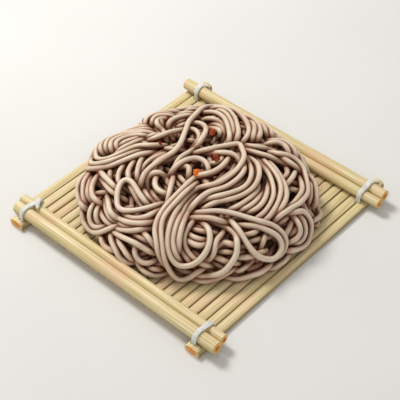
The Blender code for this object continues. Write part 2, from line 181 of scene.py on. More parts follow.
ROUTES = (
    # rim, bottom right and bottom
    ((85, 59), (90, 50), (91, 40), (88, 32), (81, 27)),
    ((96, 2), (97.5, -3), (98, -9.5), (96, -15.5), (95, -21), (93, -26.5), (91.5, -31.5)),
    ((91, -17), (91, -21), (90.5, -25), (90.5, -29.5), (89.5, -34), (87.5, -39), (86.5, -43),
     (84, -47), (80.5, -51)),
    ((79, -27.5), (81.5, -30.5), (82, -35), (82, -39.5), (81.5, -44), (79, -48.5), (76.5, -50.5),
     (73, -52.5)),
    ((58, -78), (62, -75), (66, -72), (70, -67), (73, -62), (75, -58.5), (76, -55), (77.5, -51)),
    ((-20.5, -85), (-20, -88), (-18, -90), (-14.5, -92.5), (-10, -92.5), (-6, -92), (-1, -91)),
    ((22, -89), (25, -88.5), (29.5, -87.5), (35, -86)),
    ((17, -88), (19.5, -90), (22.5, -91), (26.5, -92), (30.5, -92), (34.5, -91.5), (38, -90),
     (41.5, -87.5), (45, -85.5)),
    ((-12.5, -80), (-12, -83), (-9, -85), (-5.5, -87), (-1.5, -89), (1.5, -92), (5, -93), (9.5,
     -92.5), (13.5, -91.5), (16.5, -89.5)),
    ((9, -77.5), (10, -80.5), (11, -82.5), (13, -84.5), (16, -86), (20, -86.5), (23.5, -86),
     (26.5, -84), (28.5, -81.5), (30.5, -79), (32, -76)),
    ((-5, -78.5), (-3.5, -80.5), (0, -82.5), (4, -84), (8, -86.5), (11, -87.5), (13.5, -88.5)),
    ((-8, -79), (-4.5, -78.5), (0.5, -78), (5.5, -77.5), (11, -77), (16.5, -76.5), (21.5, -76),
     (27, -75)),
    ((1, -74), (6, -73.5), (12.5, -73), (17.5, -72.5), (22, -71.5)),
    ((1, -70), (9, -70), (17, -71), (23, -73)),
    # right-hand loops
    ((74, 17), (73, 13.5), (72.5, 9), (72, 4), (71, -0.5), (71, -4)),
    ((79, 11), (82, 9), (84, 5.5), (85, 1.5)),
    ((74.5, 12.5), (76, 9.5), (77.5, 7), (79, 4), (80, 1.5), (81.5, -1.5)),
    ((74.5, 36.5), (78.5, 36.5), (82, 35)),
    ((70.5, 33), (72, 31.5), (75, 30), (78, 30), (81, 30.5)),
    ((67, 33.5), (69, 36.5), (72.5, 40.5), (76.5, 45), (81.5, 50.5), (85, 50), (86.5, 42), (86,
     34)),
    ((75.5, 15.5), (78.5, 17.5), (81.5, 17.5), (84.5, 17.5), (88.5, 16.5), (91.5, 14.5), (93.5,
     12), (94, 7.5), (92, 2)),
    ((75.5, 13), (77.5, 13.5), (81, 13), (84.5, 12.5), (87, 10.5), (88.5, 6.5), (88, 2)),
    ((70.5, 13), (73, 18.5), (74, 22.5), (77.5, 25), (81.5, 26.5), (85.5, 27.5), (89.5, 27.5),
     (93, 25.5), (96.5, 23.5), (99, 17.5), (98, 11), (96.5, 4.5), (95, -0.5), (93, -5)),
    ((63.5, -28), (64.5, -26), (65.5, -21.5), (66.5, -17), (67, -12)),
    ((67.5, -29), (68, -27), (69.5, -22.5), (70.5, -17), (72.5, -12.5), (73.5, -9)),
    ((72, -16), (73.5, -18.5), (75.5, -21.5), (77.5, -24), (79, -26.5)),
    ((70.5, -41), (71.5, -39), (74.5, -35.5), (76.5, -31.5), (77.5, -29)),
    ((53, -40.5), (55.5, -39), (61, -36), (63.5, -34.5)),
    ((57, -48), (58.5, -45.5), (61, -41.5), (63, -37)),
    ((57.5, -51), (59, -49), (62, -44.5), (64.5, -41), (66, -38.5)),
    ((58.5, -54), (60.5, -52), (64, -50), (68, -48.5), (70, -46.5)),
    ((62, -35), (58, -40), (57, -47)),
    ((55, -63), (58.5, -61.5), (65.5, -59.5), (69, -58)),
    ((52, -68), (56, -66.5), (60.5, -64.5), (64.5, -62), (68, -60)),
    ((54, -59.5), (57, -58.5), (62, -56.5), (67.5, -54.5), (71, -53)),
    # inside the coil
    ((35, -48), (40, -46), (45, -43.5)),
    ((33, -54), (39, -54), (45, -51), (50, -47)),
    ((34, -59), (42, -58), (49, -55), (53, -50)),
    ((47, -30), (50.5, -33), (52, -35.5), (52, -41), (53, -44.5), (55, -47), (57, -49.5), (58,
     -53), (58.5, -56), (57, -61)),
    ((34, -41), (39, -36), (45, -32), (51, -29.5), (57.5, -29), (61, -32.5), (64.5, -36), (67,
     -38.5), (69, -42), (70, -46), (71, -50), (71, -54), (69.5, -58.5), (66.5, -62.5), (63.5,
     -66.5), (60, -68.5), (55, -70), (49.5, -72)),
    # right-hand arcs, outermost first
    ((22, 26), (28, 22), (34, 20), (39, 13), (42, 6)),
    ((50, 57), (55, 52.5), (60, 50), (64.5, 46), (66.5, 44.5), (69, 43.5), (72, 41.5)),
    ((57, 61), (61, 58), (65, 54.5), (69, 51), (72.5, 48.5), (75.5, 46.5)),
    ((55.5, 24.5), (57, 26.5), (60.5, 30.5), (62, 32)),
    ((41.5, 44.5), (44.5, 41.5), (46.5, 37.5), (47.5, 33)),
    ((44, 52), (45.5, 50), (47.5, 44.5), (49.5, 38.5), (51, 33), (51.5, 29.5)),
    ((51, 46), (53.5, 43.5), (57.5, 40), (61.5, 35.5), (64, 29.5), (66, 23), (66.5, 17.5), (66.5,
     12.5), (67, 7)),
    ((23.5, 36), (33.5, 34), (42.5, 31), (51.5, 27), (59.5, 21), (64.5, 12), (66, 4), (64.5, -5)),
    ((21.5, 32), (32.5, 30), (42.5, 28), (51.5, 23), (58.5, 14), (62.5, 5), (63.5, -4), (61.5,
     -11)),
    ((23.5, 26), (34.5, 23), (41.5, 19), (46.5, 12), (50, 4), (51.5, -4), (50.5, -12.5)),
    ((47, 14), (51, 8.5), (54, 1.5), (54.5, -5), (53.5, -11)),
    ((36, 14), (41, 12.5), (43.5, 9), (45.5, 3), (46, -5), (45, -14.5)),
    ((19.5, 29), (29.5, 26), (38.5, 24), (46.5, 19.5), (53, 13.5), (57, 5.5), (58.5, -2), (57.5,
     -10)),
    # middle hollow, below the S
    ((11, 9), (17, 10), (23, 9)),
    ((13, -6), (19, -7), (25, -5), (29, -3)),
    ((27, 20), (30, 15), (32, 9), (33, 3), (32.5, -3), (30.5, -9)),
    ((28, 17), (26.5, 10), (26, 3), (25, -3), (24, -9)),
    ((14, 23), (16.5, 18.5), (19, 14), (21, 10)),
    ((27, 24), (32, 18), (36.5, 11), (38.5, 4.5), (38, -2), (36, -9), (34, -15)),
    ((11, -12), (18, -13), (24, -12)),
    ((-7, -13), (-3, -9), (3, -15), (8, -21)),
    ((-8, -21), (-1, -21), (7, -23)),
    ((-8, -27), (-1, -26), (6, -28)),
    ((-10, 9), (-4, 5), (3, 0), (9, -4)),
    ((-20, 12), (-16, 6), (-11, 2)),
    ((-25, 11), (-19, 14), (-13, 12)),
    ((-23, 5), (-18, -1), (-17, -9)),
    # upper middle: arcs round the first chilli bit
    ((-35, 39), (-29, 44), (-19, 45), (-9, 41), (-2, 34), (2, 28)),
    ((-27, 35), (-21, 40), (-13, 39), (-7, 33), (-4, 26)),
    ((-17, 35), (-12, 35.5), (-8, 31), (-7, 25)),
    # top silhouette
    ((-66, 34), (-64, 38), (-60.5, 42.5), (-56, 47), (-51, 51.5), (-46, 56), (-40, 61)),
    ((-40, 7.5), (-43, 9), (-47, 11), (-50.5, 13), (-53.5, 16), (-56, 19), (-58.5, 22.5), (-60.5,
     25.5), (-61.5, 29), (-61, 32.5), (-59.5, 36), (-57, 39.5), (-54.5, 42), (-51.5, 45), (-47,
     48.5), (-42, 52)),
    ((-57, 22), (-54.5, 26.5), (-53.5, 30.5), (-52, 34), (-49.5, 37), (-46, 39.5), (-42, 42)),
    ((0.5, 34), (-3.5, 38), (-8, 42.5), (-13, 47), (-19, 51), (-25, 55), (-32, 57.5), (-39, 58)),
    ((2, 34.5), (-1, 39), (-6, 45), (-12, 50), (-18.5, 55), (-24.5, 58.5), (-30, 61), (-37, 62),
     (-44, 61)),
    ((-41, 47), (-34, 50.5), (-26, 51), (-18, 47.5), (-11, 43), (-5, 38), (-1, 33)),
    # far side, from the fan to the right
    ((-7, 77), (-1.5, 75), (4.5, 71.5), (10.5, 66.5), (15, 62.5), (18.5, 59.5), (21, 57)),
    ((-5, 71), (2.5, 66), (8, 62), (12, 59.5), (16.5, 56), (19, 53)),
    ((8, 54.5), (12.5, 51.5), (16, 50), (18, 48)),
    ((16, 41), (12.5, 44.5), (9.5, 51), (5.5, 58.5), (0, 66), (-6, 71.5), (-12, 74), (-19, 74)),
    ((13, 40), (11.5, 42), (7.5, 49), (2.5, 56), (-2.5, 62), (-6.5, 65), (-12, 66)),
    ((18, 62), (20, 65), (22, 68), (24.5, 68.5), (29.5, 67), (34, 64), (37.5, 60), (39.5, 57)),
    ((17, 44), (20, 45.5), (20, 51), (21, 56), (22.5, 60), (25.5, 61.5), (29, 60.5), (32.5,
     57.5), (36, 55)),
    # the two bands that run over the fan
    ((16, 33), (23, 36.5), (27, 39.5), (31, 41.5), (34.5, 43.5), (38, 45.5)),
    ((13, 36.5), (19.5, 40.5), (23, 44), (27.5, 46), (30.5, 46.5), (33.5, 47), (37, 47.5), (40.5,
     48.5), (43.5, 50), (46, 50)),
    ((28, 48.5), (30.5, 50), (32.5, 51.5), (36.5, 53.5), (40.5, 55), (44.5, 55), (49, 54), (53.5,
     50), (58, 46.5), (62, 42.5), (65, 38.5), (67, 32), (68.5, 24.5), (68.5, 18), (68, 12),
     (67.5, 6.5), (68, 1)),
    # left sweep
    ((-47, -44), (-40, -52), (-32, -58), (-24, -63)),
    ((-44, -31), (-41, -41), (-33, -49), (-25, -51)),
    ((-40, -25), (-36, -36), (-28, -43), (-19, -49), (-9, -53), (1, -54)),
    ((-29, -13), (-30, -23), (-27, -32), (-20, -40), (-12, -47), (-2, -51), (7, -52)),
    ((-23, -10), (-24, -20), (-22, -29), (-16, -38), (-8, -44), (1, -47), (9, -48)),
    ((-18, -5), (-19, -15), (-19, -25), (-15, -33)),
    ((-16, -30), (-13, -36), (-7, -39.5), (1, -38), (7, -36)),
    ((-16, -39), (-20, -34), (-19, -28), (-14, -25), (-9, -27), (-4, -30), (1, -32)),
    ((-23, -2), (-29, -5), (-35, -10), (-37.5, -16), (-35, -24), (-29, -33), (-22, -40), (-14,
     -45), (-4, -48.5), (7, -50)),
    # lower left sweep
    ((-51.5, -51.5), (-45.5, -53), (-39.5, -55), (-32, -57.5), (-24, -60.5)),
    ((-50, -54.5), (-44, -57.5), (-38, -59.5), (-32, -62), (-26, -65)),
    ((-38.5, -65.5), (-35.5, -68), (-32, -72), (-28, -75), (-23, -77), (-17.5, -78), (-11,
     -77.5), (-6, -76), (-1.5, -73.5), (2.5, -71.5), (5.5, -69), (8.5, -66.5), (11.5, -64.5)),
    ((-37, -63), (-32.5, -66), (-28.5, -70.5), (-23.5, -74), (-16.5, -76), (-10, -75.5), (-4,
     -73), (2, -69.5), (6, -66)),
    ((-35.5, -61.5), (-28.5, -66.5), (-23.5, -71.5), (-16.5, -73.5), (-10, -73), (-5, -71.5), (0,
     -69), (4.5, -65.5), (7, -62.5), (10, -59.5)),
    ((-34.5, -71), (-34, -74), (-32, -78.5), (-29, -81.5), (-24.5, -82.5)),
    ((-38, -68.5), (-39, -72), (-39, -74.5), (-38.5, -77.5), (-37, -81), (-35, -83.5), (-30.5,
     -84.5), (-25, -83)),
    ((-38, -64.5), (-41, -66), (-46, -67.5), (-48.5, -72.5), (-48, -75.5), (-47.5, -79.5),
     (-46.5, -83.5), (-43, -85.5), (-39, -87.5), (-32, -87.5), (-24.5, -86), (-19, -83), (-15,
     -80)),
    ((-60, -52), (-57.5, -56.5), (-54.5, -60.5), (-51, -64.5), (-47, -66.5)),
    ((-62, -50), (-62, -54.5), (-60, -58), (-57, -62.5), (-53, -66.5), (-48.5, -69)),
    ((-54.5, -50.5), (-53, -56), (-50, -59.5), (-45.5, -63.5), (-41, -65)),
    ((-30, -53), (-40, -50), (-47, -48), (-53, -46), (-59, -44.5), (-63.5, -45), (-67, -48),
     (-68, -52.5), (-67.5, -57.5), (-66, -61), (-63, -65), (-58, -68), (-53, -70.5), (-48, -72)),
    ((-16, -66.5), (-10, -67.5), (-4, -66.5), (0.5, -64), (3, -61.5), (5.5, -58), (7.5, -54.5),
     (9.5, -51)),
    ((-6, -51), (-11.5, -50), (-16.5, -48), (-22, -44.5), (-26, -42.5), (-30, -42.5), (-32.5,
     -44.5), (-32, -49.5), (-28.5, -56), (-25, -61), (-22, -64.5), (-18, -66), (-12, -64.5), (-6,
     -60.5), (-1, -56), (3, -52), (6, -49)),
    # small loops above the upper band
    ((-44, 0.5), (-47.5, 2.5), (-51.5, 3), (-58, 6), (-63, 9.5), (-67, 12.5), (-69, 16.5),
     (-68.5, 20), (-67, 24), (-64, 28), (-59, 33)),
    ((-45, 4), (-48.5, 5.5), (-52, 7), (-57, 9.5), (-61, 12.5), (-63.5, 16), (-63.5, 19), (-62.5,
     21), (-59, 23.5), (-55, 26)),
    ((-43, 4.5), (-46, 6.5), (-50, 8.5), (-54.5, 12.5), (-57.5, 16), (-59, 18.5), (-58.5, 21.5),
     (-55, 24.5)),
    ((-37, 12.5), (-39.5, 15), (-40.5, 18.5), (-40, 22), (-39.5, 26), (-38, 29)),
    ((-40, 13), (-43.5, 15.5), (-45.5, 19), (-46, 23), (-45, 27), (-44, 31), (-42, 34)),
    ((-41, 10), (-44.5, 12.5), (-47.5, 16), (-49, 20), (-49.5, 24), (-49, 28), (-48, 32), (-45.5,
     34.5), (-42, 37)),
    # left loops, innermost first
    ((-53, -1), (-57, -4), (-60, -8.5), (-61.5, -13.5), (-61, -18.5), (-59.5, -23)),
    ((-54, 5), (-62, 5.5), (-71, 4), (-77, 0), (-80.5, -7), (-80.5, -14.5), (-77.5, -21.5),
     (-72.5, -27.5), (-66.5, -31.5), (-60.5, -33.5)),
    ((-53, 3.5), (-61, 3), (-69, 1), (-74, -3), (-76.5, -9.5), (-76, -16.5), (-73, -22), (-68.5,
     -27), (-63, -30.5), (-58, -31.5)),
    ((-52, 2), (-59, 1), (-66, -1), (-70.5, -5), (-72.5, -11), (-72, -17.5), (-67.5, -23.5),
     (-62, -27.5), (-57.5, -29)),
    ((-51, 0), (-57, -1.5), (-63, -3), (-66.5, -7.5), (-67.5, -13.5), (-66, -19), (-62.5, -23),
     (-57.5, -25.5)),
    ((-47, 5), (-50, 1.5), (-52, -3), (-54.5, -8.5), (-56.5, -14), (-58, -19.5), (-58, -25)),
    ((-38, -17), (-42, -23.5), (-46, -31), (-50.5, -37), (-56, -41.5), (-62, -44), (-68, -44.5)),
    ((-38, -10.5), (-42, -13.5), (-46, -18), (-49, -24), (-52, -31), (-55.5, -36.5), (-60, -40),
     (-66, -41), (-72, -38), (-78, -33)),
    ((-36, -5), (-41, -8), (-46.5, -11.5), (-51, -15.5), (-53.5, -21), (-55.5, -27.5), (-58.5,
     -33.5), (-63, -36.5), (-68, -36), (-73.5, -31.5), (-79, -25), (-83.5, -18), (-85.5, -10),
     (-83, -1), (-77, 5), (-70, 7.5), (-62, 7.5)),
    # upper band and the single curves
    ((-48, -2), (-45.5, 1.5), (-43.5, 5.5), (-41.5, 9), (-39, 13.5), (-35.5, 17.5), (-31.5, 22),
     (-28, 23.5), (-24, 22.5), (-19.5, 20), (-17, 17.5), (-15.5, 13.5), (-14.5, 8.5)),
    ((-42, 24), (-38.5, 29.5), (-33, 32.5), (-26.5, 32), (-20.5, 27.5), (-16.5, 19), (-13.5, 10),
     (-13.5, 1), (-14.5, -5), (-12, -13), (-8, -22), (-2, -30), (3, -37), (8, -45)),
    ((5.5, 38), (4.5, 42), (1.5, 48), (-2.5, 53.5), (-7.5, 58), (-13, 62), (-20.5, 66), (-29,
     69), (-37, 68.5), (-44, 64.5), (-48, 58.5), (-47.5, 52), (-46.5, 46.5), (-44.5, 39.5), (-42,
     34.5), (-40, 30), (-37, 25.5), (-33.5, 21), (-30, 15.5), (-25, 7), (-22.5, -1), (-22.5,
     -11), (-23, -21), (-22, -30), (-18, -38)),
    # S bundle
    ((19.5, 26), (29.5, 23.5), (36.5, 17), (40.5, 8), (41, 0.5), (39.5, -6), (36, -14), (33,
     -21), (31.5, -30), (31, -40.5), (32, -52), (35, -59), (41, -63.5), (49, -64), (55, -61)),
    ((20.5, 24.5), (28.5, 19.5), (34, 12), (36.5, 4.5), (36, -2), (33, -10), (30, -17), (27.5,
     -25), (27, -34), (27, -43), (28, -51), (31, -58), (35.5, -63), (41.5, -66.5), (49, -66.5)),
    ((17.5, 24), (24.5, 18.5), (28, 11.5), (29.5, 4), (29.5, -3), (27.5, -10), (24.5, -17),
     (23.5, -26), (24, -36.5), (25.5, -46), (28.5, -54), (33, -61), (39, -66.5)),
    ((20.5, 8), (22, -2), (21.5, -12), (19.5, -20), (18.5, -28), (19, -36.5), (21.5, -44.5), (25,
     -53), (28.5, -59.5), (31, -63.5), (34.5, -66), (38, -68.5), (42, -70.5), (45, -71)),
    ((14, -47), (18, -55), (23, -63), (30, -70), (37, -76), (45, -78)),
    ((-3, 18), (-2, 15), (-0.5, 11), (2, 7.5), (6, 5), (10, 3.5)),
    ((2, 19), (5, 17), (8, 14), (9.5, 9), (8, 6)),
    ((-9, -18), (-10, -14), (-9, -5), (-6, 0.5), (0, 3), (5, 1.5), (9, -2)),
    ((9.5, 22), (12, 13.5), (13.5, 5), (13, -3), (10.5, -10), (9, -18), (9, -27.5), (9, -37.5),
     (9.5, -47), (11.5, -56.5), (15, -63.5), (19.5, -68), (22.5, -70.5), (25, -73), (28.5, -76),
     (31, -78), (34, -80.5), (36.5, -82.5), (39.5, -84), (43, -86)),
    ((-4, 11), (2, 17), (8, 22), (14, 23), (19, 21)),
    ((-8, 11), (-2, 20), (3, 30), (6, 35.5), (11, 31.5), (16.5, 24.5), (20, 16), (22, 7.5),
     (21.5, -2), (18.5, -11), (16, -19), (15, -28), (16, -37.5), (18.5, -46.5), (22, -55), (25,
     -61), (28, -65.5), (30.5, -68.5), (33.5, -70.5), (37, -72.5), (41, -73.5), (44, -74), (48,
     -72), (50.5, -69.5), (53, -65.5), (54, -61), (54, -55.5), (52.5, -50), (49.5, -45.5), (45.5,
     -42), (40, -40.5), (34, -42.5)),
    ((12.5, -25), (12.5, -35), (12.5, -45), (14, -54), (18.5, -61.5), (24, -68), (27, -71.5),
     (30, -75), (33.5, -78), (38, -81), (42.5, -83.5), (47.5, -85.5), (52.5, -85), (56, -81.5),
     (58, -77), (59, -72.5), (60, -69)),
    # long loop to the right
    ((34, -39), (39, -33), (47, -28), (55, -21.5), (63, -14.5), (70.5, -10), (76, -7), (79.5,
     -6.5), (83.5, -7), (86, -9), (87.5, -12.5), (88, -16.5), (86.5, -20.5), (83.5, -24), (80,
     -27), (76, -28.5), (72, -29), (68, -28.5), (64, -28), (59.5, -26.5), (54, -25.5)),
    ((34, -34), (39, -26), (46, -19.5), (55, -14.5), (63.5, -9.5), (68, -6), (72.5, -3.5), (77.5,
     -2), (82.5, -1.5), (86.5, -3), (89.5, -5.5), (91.5, -8.5), (92.5, -13), (91.5, -17)),
)

# ---- laying the noodles

NOODLE_RADIUS = 2.0 * MM
THINNEST, THICKEST = 0.94, 1.06     # of that radius, from noodle to noodle
PLUMPNESS = 0.99                    # share of that radius that is seen; the rest is the film between noodles
CORE_DEPTH = 15.0 * MM              # from the skin down to the core that the noodles lie on
STEP = 2.0 * MM                     # between two points of a noodle's path
CONTACT = 0.94                      # noodles press into each other by the rest
SAME_NOODLE = 4                     # points of one noodle nearer than this many steps don't press
UNDER_NOODLES = 44
UNDER_LENGTH = 190.0 * MM
UNDER_COVER = 4.0 * MM              # the noodles of the under layer stay this far below the skin
SHORTEST, LONGEST = 0.7, 1.3        # of the two lengths given here
FAR_NOODLES = 30
FAR_LENGTH = 150.0 * MM
FAR_COVER = 0.8 * MM
FAR_FROM, FAR_SWEEP = 60.0, 150.0   # degrees round the heap that the far side takes up
FAR_OUT = 82.0 * MM                 # the middles of their curls lie this far out
FAR_LIMIT = 34.0 * MM               # and they curl within this reach
PROUD = 2.0 * MM                    # the topmost noodles may stand out of the skin this far
TUCK = 8.0 * MM                     # each end goes on by this much
TUCK_SLOPE = 1.6 * TUCK             # and dives into the heap over this length
TUCK_DEPTH = 10.0 * MM
STACK_ROUNDS, RELAX_ROUNDS = 140, 60
STACK_REACH, RELAX_REACH = 2.1, 2.3  # points nearer than this many radii may press on each other
STACK_SHARE = 0.3                   # of what two points lack in height, moved in one round
STACK_RISE = 0.01                   # share of the way back to the skin in one round
STACK_SMOOTHING = (0.35, 0.2)       # at first, and at the end
STACK_FIRST = 0.7                   # share of the rounds with the first smoothing
RELAX_SEARCH = 8                    # rounds between two searches for pairs
RELAX_PUSH, RELAX_CROWDING = 1.2, 0.6
RELAX_SMOOTHING, LAST_SMOOTHING = 0.5, 0.4
SMOOTHINGS = 3                      # times in a row
CAMERA_TURN = math.radians(42.05)
CAMERA_RISE = math.radians(44.58)
TO_CAMERA = np.array([math.sin(CAMERA_TURN) * math.cos(CAMERA_RISE),
                      -math.cos(CAMERA_TURN) * math.cos(CAMERA_RISE), math.sin(CAMERA_RISE)])
LEAST_AHEAD = 0.05
SLANT_LIMIT = 1.3
SLANT_FROM, SLANT_FULL = 0.1, 0.4   # how far the skin faces the camera where the slant starts and is full
LEAST_RISE = 0.15                   # a way out that rises less than this never reaches the mat
START_WITHIN = 0.9                  # a random path starts within this share of its limits
TURN_BACK, TURN_BACK_RIM = 0.9, 0.88  # it turns back at these shares of its limit and of the rim
NEVER_BEYOND = 0.97                 # share of the way to the rim
WAVES = ((25, 60, 0.035), (70, 160, 0.03))  # shortest and longest in mm, and their sharpest turn
TURN_GAIN, SHARPEST_TURN = 1.6, 0.17  # radians in each mm, for all of the limit and at most
FACES_AWAY = 2.6                    # radians from home; beyond this it turns to its own side


def smooth_curve(points, step):
    """Smooth curve through some points, sampled at even steps of its first three columns."""
    points = np.asarray(points, dtype=float)
    padded = np.vstack([2 * points[0] - points[1], points, 2 * points[-1] - points[-2]])
    spans = np.linspace(0, len(points) - 1 - 1e-9, 24 * len(points))
    index = spans.astype(int)
    dense = between(*(padded[index + k] for k in range(4)), (spans - index)[:, None])
    way = way_along(dense[:, :3])
    count = max(int(round(way[-1] / step)), 3)
    return at_ways(np.linspace(0.0, way[-1], count + 1), way, dense)


def direction(angle):
    return np.array([math.cos(angle), math.sin(angle)])


def wander(rng, length, centre, limit):
    """A noodle's unrolled path that curls at random and turns back at the rim and at its limit."""
    centre = np.array(centre)
    start_angle = rng.uniform(0, FULL_TURN)
    place = centre + START_WITHIN * limit * math.sqrt(rng.uniform(0, 1)) * direction(start_angle)
    place *= min(1.0, START_WITHIN * RIM_WAY / max(np.linalg.norm(place), 1e-9))
    heading = rng.uniform(0, FULL_TURN)
    waves = [(rng.uniform(shortest, longest) * MM, rng.uniform(0, FULL_TURN), rng.uniform(0.0, most) / MM)
             for shortest, longest, most in WAVES]
    side = rng.choice((-1.0, 1.0))
    path = []
    for number in range(int(length / STEP)):
        path.append(place)
        bend = sum(strength * math.sin(FULL_TURN * number * STEP / wave + shift)
                   for wave, shift, strength in waves)
        from_centre = np.linalg.norm(place - centre) / limit - TURN_BACK
        from_rim = np.linalg.norm(place) / RIM_WAY - TURN_BACK_RIM
        over = max(from_centre, from_rim)
        if over > 0.0:
            home = -place if from_rim > from_centre else centre - place
            turn = (math.atan2(home[1], home[0]) - heading + math.pi) % FULL_TURN - math.pi
            sharp = min(TURN_GAIN * over, SHARPEST_TURN) / MM
            bend += math.copysign(sharp, turn if abs(turn) < FACES_AWAY else side)
        heading += bend * STEP
        place = place + STEP * direction(heading)
        place = place * min(1.0, NEVER_BEYOND * RIM_WAY / np.linalg.norm(place))
    return np.array(path)


def lengthened(places, extra):
    """A path that goes on straight for a while at both ends."""
    steps = np.arange(1, int(round(extra / STEP)) + 1)[:, None] * STEP
    head, tail = unit(np.array([places[0] - places[2], places[-1] - places[-3]]))
    return np.vstack([places[0] + steps[::-1] * head, places, places[-1] + steps * tail])


def point_tree(points):
    """A tree that finds the points near a place."""
    tree = KDTree(len(points))
    for index, place in enumerate(points):
        tree.insert(place, index)
    tree.balance()
    return tree


def close_pairs(point, reach, owner):
    """Index pairs (first < second) of points nearer than the reach, not neighbours on one noodle."""
    tree = point_tree(point)
    first, second = [], []
    for index, place in enumerate(point):
        for _, other, _ in tree.find_range(place, reach):
            if other > index:
                first.append(index)
                second.append(other)
    first, second = np.array(first), np.array(second)
    keep = (owner[first] != owner[second]) | (second - first > SAME_NOODLE)
    return first[keep], second[keep]


def sinking_direction(normal):
    """Way out of the heap per unit of depth.

    It slants to the front, so that a sunk noodle keeps its place in view.
    """
    ahead = np.maximum(normal @ TO_CAMERA, LEAST_AHEAD)[:, None]
    slant = TO_CAMERA / ahead - normal
    size = np.linalg.norm(slant, axis=1, keepdims=True)
    fade = np.clip((ahead - SLANT_FROM) / (SLANT_FULL - SLANT_FROM), 0.0, 1.0)
    return normal + slant * np.minimum(1.0, SLANT_LIMIT / np.maximum(size, 1e-6)) * fade


def dot(first, second):
    return np.einsum("ij,ij->i", first, second)


class Heap:
    """All points of all noodles, in laying order, so a later point lies over an earlier one."""

    def __init__(self, paths, radii, tops):
        places = np.vstack(paths)
        self.owner = np.concatenate([np.full(len(path), k) for k, path in enumerate(paths)])
        self.radius = np.array(radii)[self.owner]
        self.top = np.concatenate(tops)
        self.base = skin_point(places)
        self.normal = skin_normal(places)
        self.outward = sinking_direction(self.normal)
        rise = self.outward[:, 2]
        on_mat = (HEAP_FOOT + self.radius - self.base[:, 2]) / np.maximum(rise, LEAST_RISE)
        self.low = np.maximum(self.radius - CORE_DEPTH, np.where(rise > LEAST_RISE, on_mat, -1.0))
        self.low = np.minimum(self.low, self.top)
        number = np.arange(len(places))
        changes = self.owner[1:] != self.owner[:-1]
        self.before = np.where(np.concatenate([[True], changes]), number, number - 1)
        self.after = np.where(np.concatenate([changes, [True]]), number, number + 1)
        self.point = self.base.copy()

    def smooth(self, values, share, times=1):
        for _ in range(times):
            values = (1 - share) * values + 0.5 * share * (values[self.before] + values[self.after])
        return values

    def pairs(self, point, reach):
        """Points that may press on each other, and how far apart their middles should be."""
        first, second = close_pairs(point, reach * NOODLE_RADIUS, self.owner)
        return first, second, (self.radius[first] + self.radius[second]) * CONTACT

    def stack(self, rounds):
        """Finds each point's depth under the skin from what crosses over and under it."""
        depth = np.clip(-self.radius, self.low, self.top)
        first, second, reach = self.pairs(self.base, STACK_REACH)
        middle = unit(self.normal[first] + self.normal[second])
        for turn in range(rounds):
            point = self.base + self.outward * depth[:, None]
            offset = point[second] - point[first]
            along = dot(offset, middle)
            aside = dot(offset, offset) - along ** 2
            lack = np.sqrt(np.maximum(reach ** 2 - aside, 0.0)) - along
            lack = np.where((aside < reach ** 2) & (lack > 0), lack, 0.0)
            down = np.zeros(len(depth))
            up = np.zeros(len(depth))
            np.maximum.at(down, first, lack)
            np.maximum.at(up, second, lack)
            depth += STACK_SHARE * (up - down)
            depth = self.smooth(depth, STACK_SMOOTHING[turn >= rounds * STACK_FIRST])
            depth += STACK_RISE * (-self.radius - depth)
            depth = np.clip(depth, self.low, self.top)
        self.point = self.base + self.outward * depth[:, None]
        lack = np.maximum(HEAP_FOOT + self.radius - self.point[:, 2], 0.0)
        self.point += TO_CAMERA * (lack / TO_CAMERA[2])[:, None]

    def relax(self, rounds):
        """Pushes what still overlaps apart in all directions, keeping each noodle's curve."""
        start = self.point.copy()
        point = self.point
        for turn in range(rounds):
            if turn % RELAX_SEARCH == 0:
                first, second, reach = self.pairs(point, RELAX_REACH)
            apart = point[second] - point[first]
            distance = np.maximum(np.linalg.norm(apart, axis=1), 1e-6)
            overlap = np.maximum(reach - distance, 0.0)
            push = (0.5 * overlap / distance)[:, None] * apart
            shift = np.zeros_like(point)
            hits = np.zeros(len(point))
            for ends, way in ((first, -push), (second, push)):
                np.add.at(shift, ends, way)
                np.add.at(hits, ends, overlap > 0)
            shift *= RELAX_PUSH / np.maximum(hits, 1.0)[:, None] ** RELAX_CROWDING
            point = start + self.smooth(point - start + shift, RELAX_SMOOTHING, SMOOTHINGS)
            lift = dot(point - self.base, self.normal)
            lift = np.clip(lift, self.radius - CORE_DEPTH, self.top) - lift
            point = point + self.normal * lift[:, None]
            point[:, 2] = np.maximum(point[:, 2], HEAP_FOOT + self.radius)
        point = self.smooth(point, LAST_SMOOTHING, SMOOTHINGS)
        point[:, 2] = np.maximum(point[:, 2], HEAP_FOOT + self.radius)
        self.point = point


def tucked_tops(count, radius):
    """How far each point of a noodle may rise over the skin: both ends dive into the heap."""
    way = np.arange(count) * STEP
    tucked = 1.0 - np.clip(np.minimum(way, way[::-1]) / TUCK_SLOPE, 0.0, 1.0)
    return -radius + PROUD - tucked ** 1.5 * TUCK_DEPTH


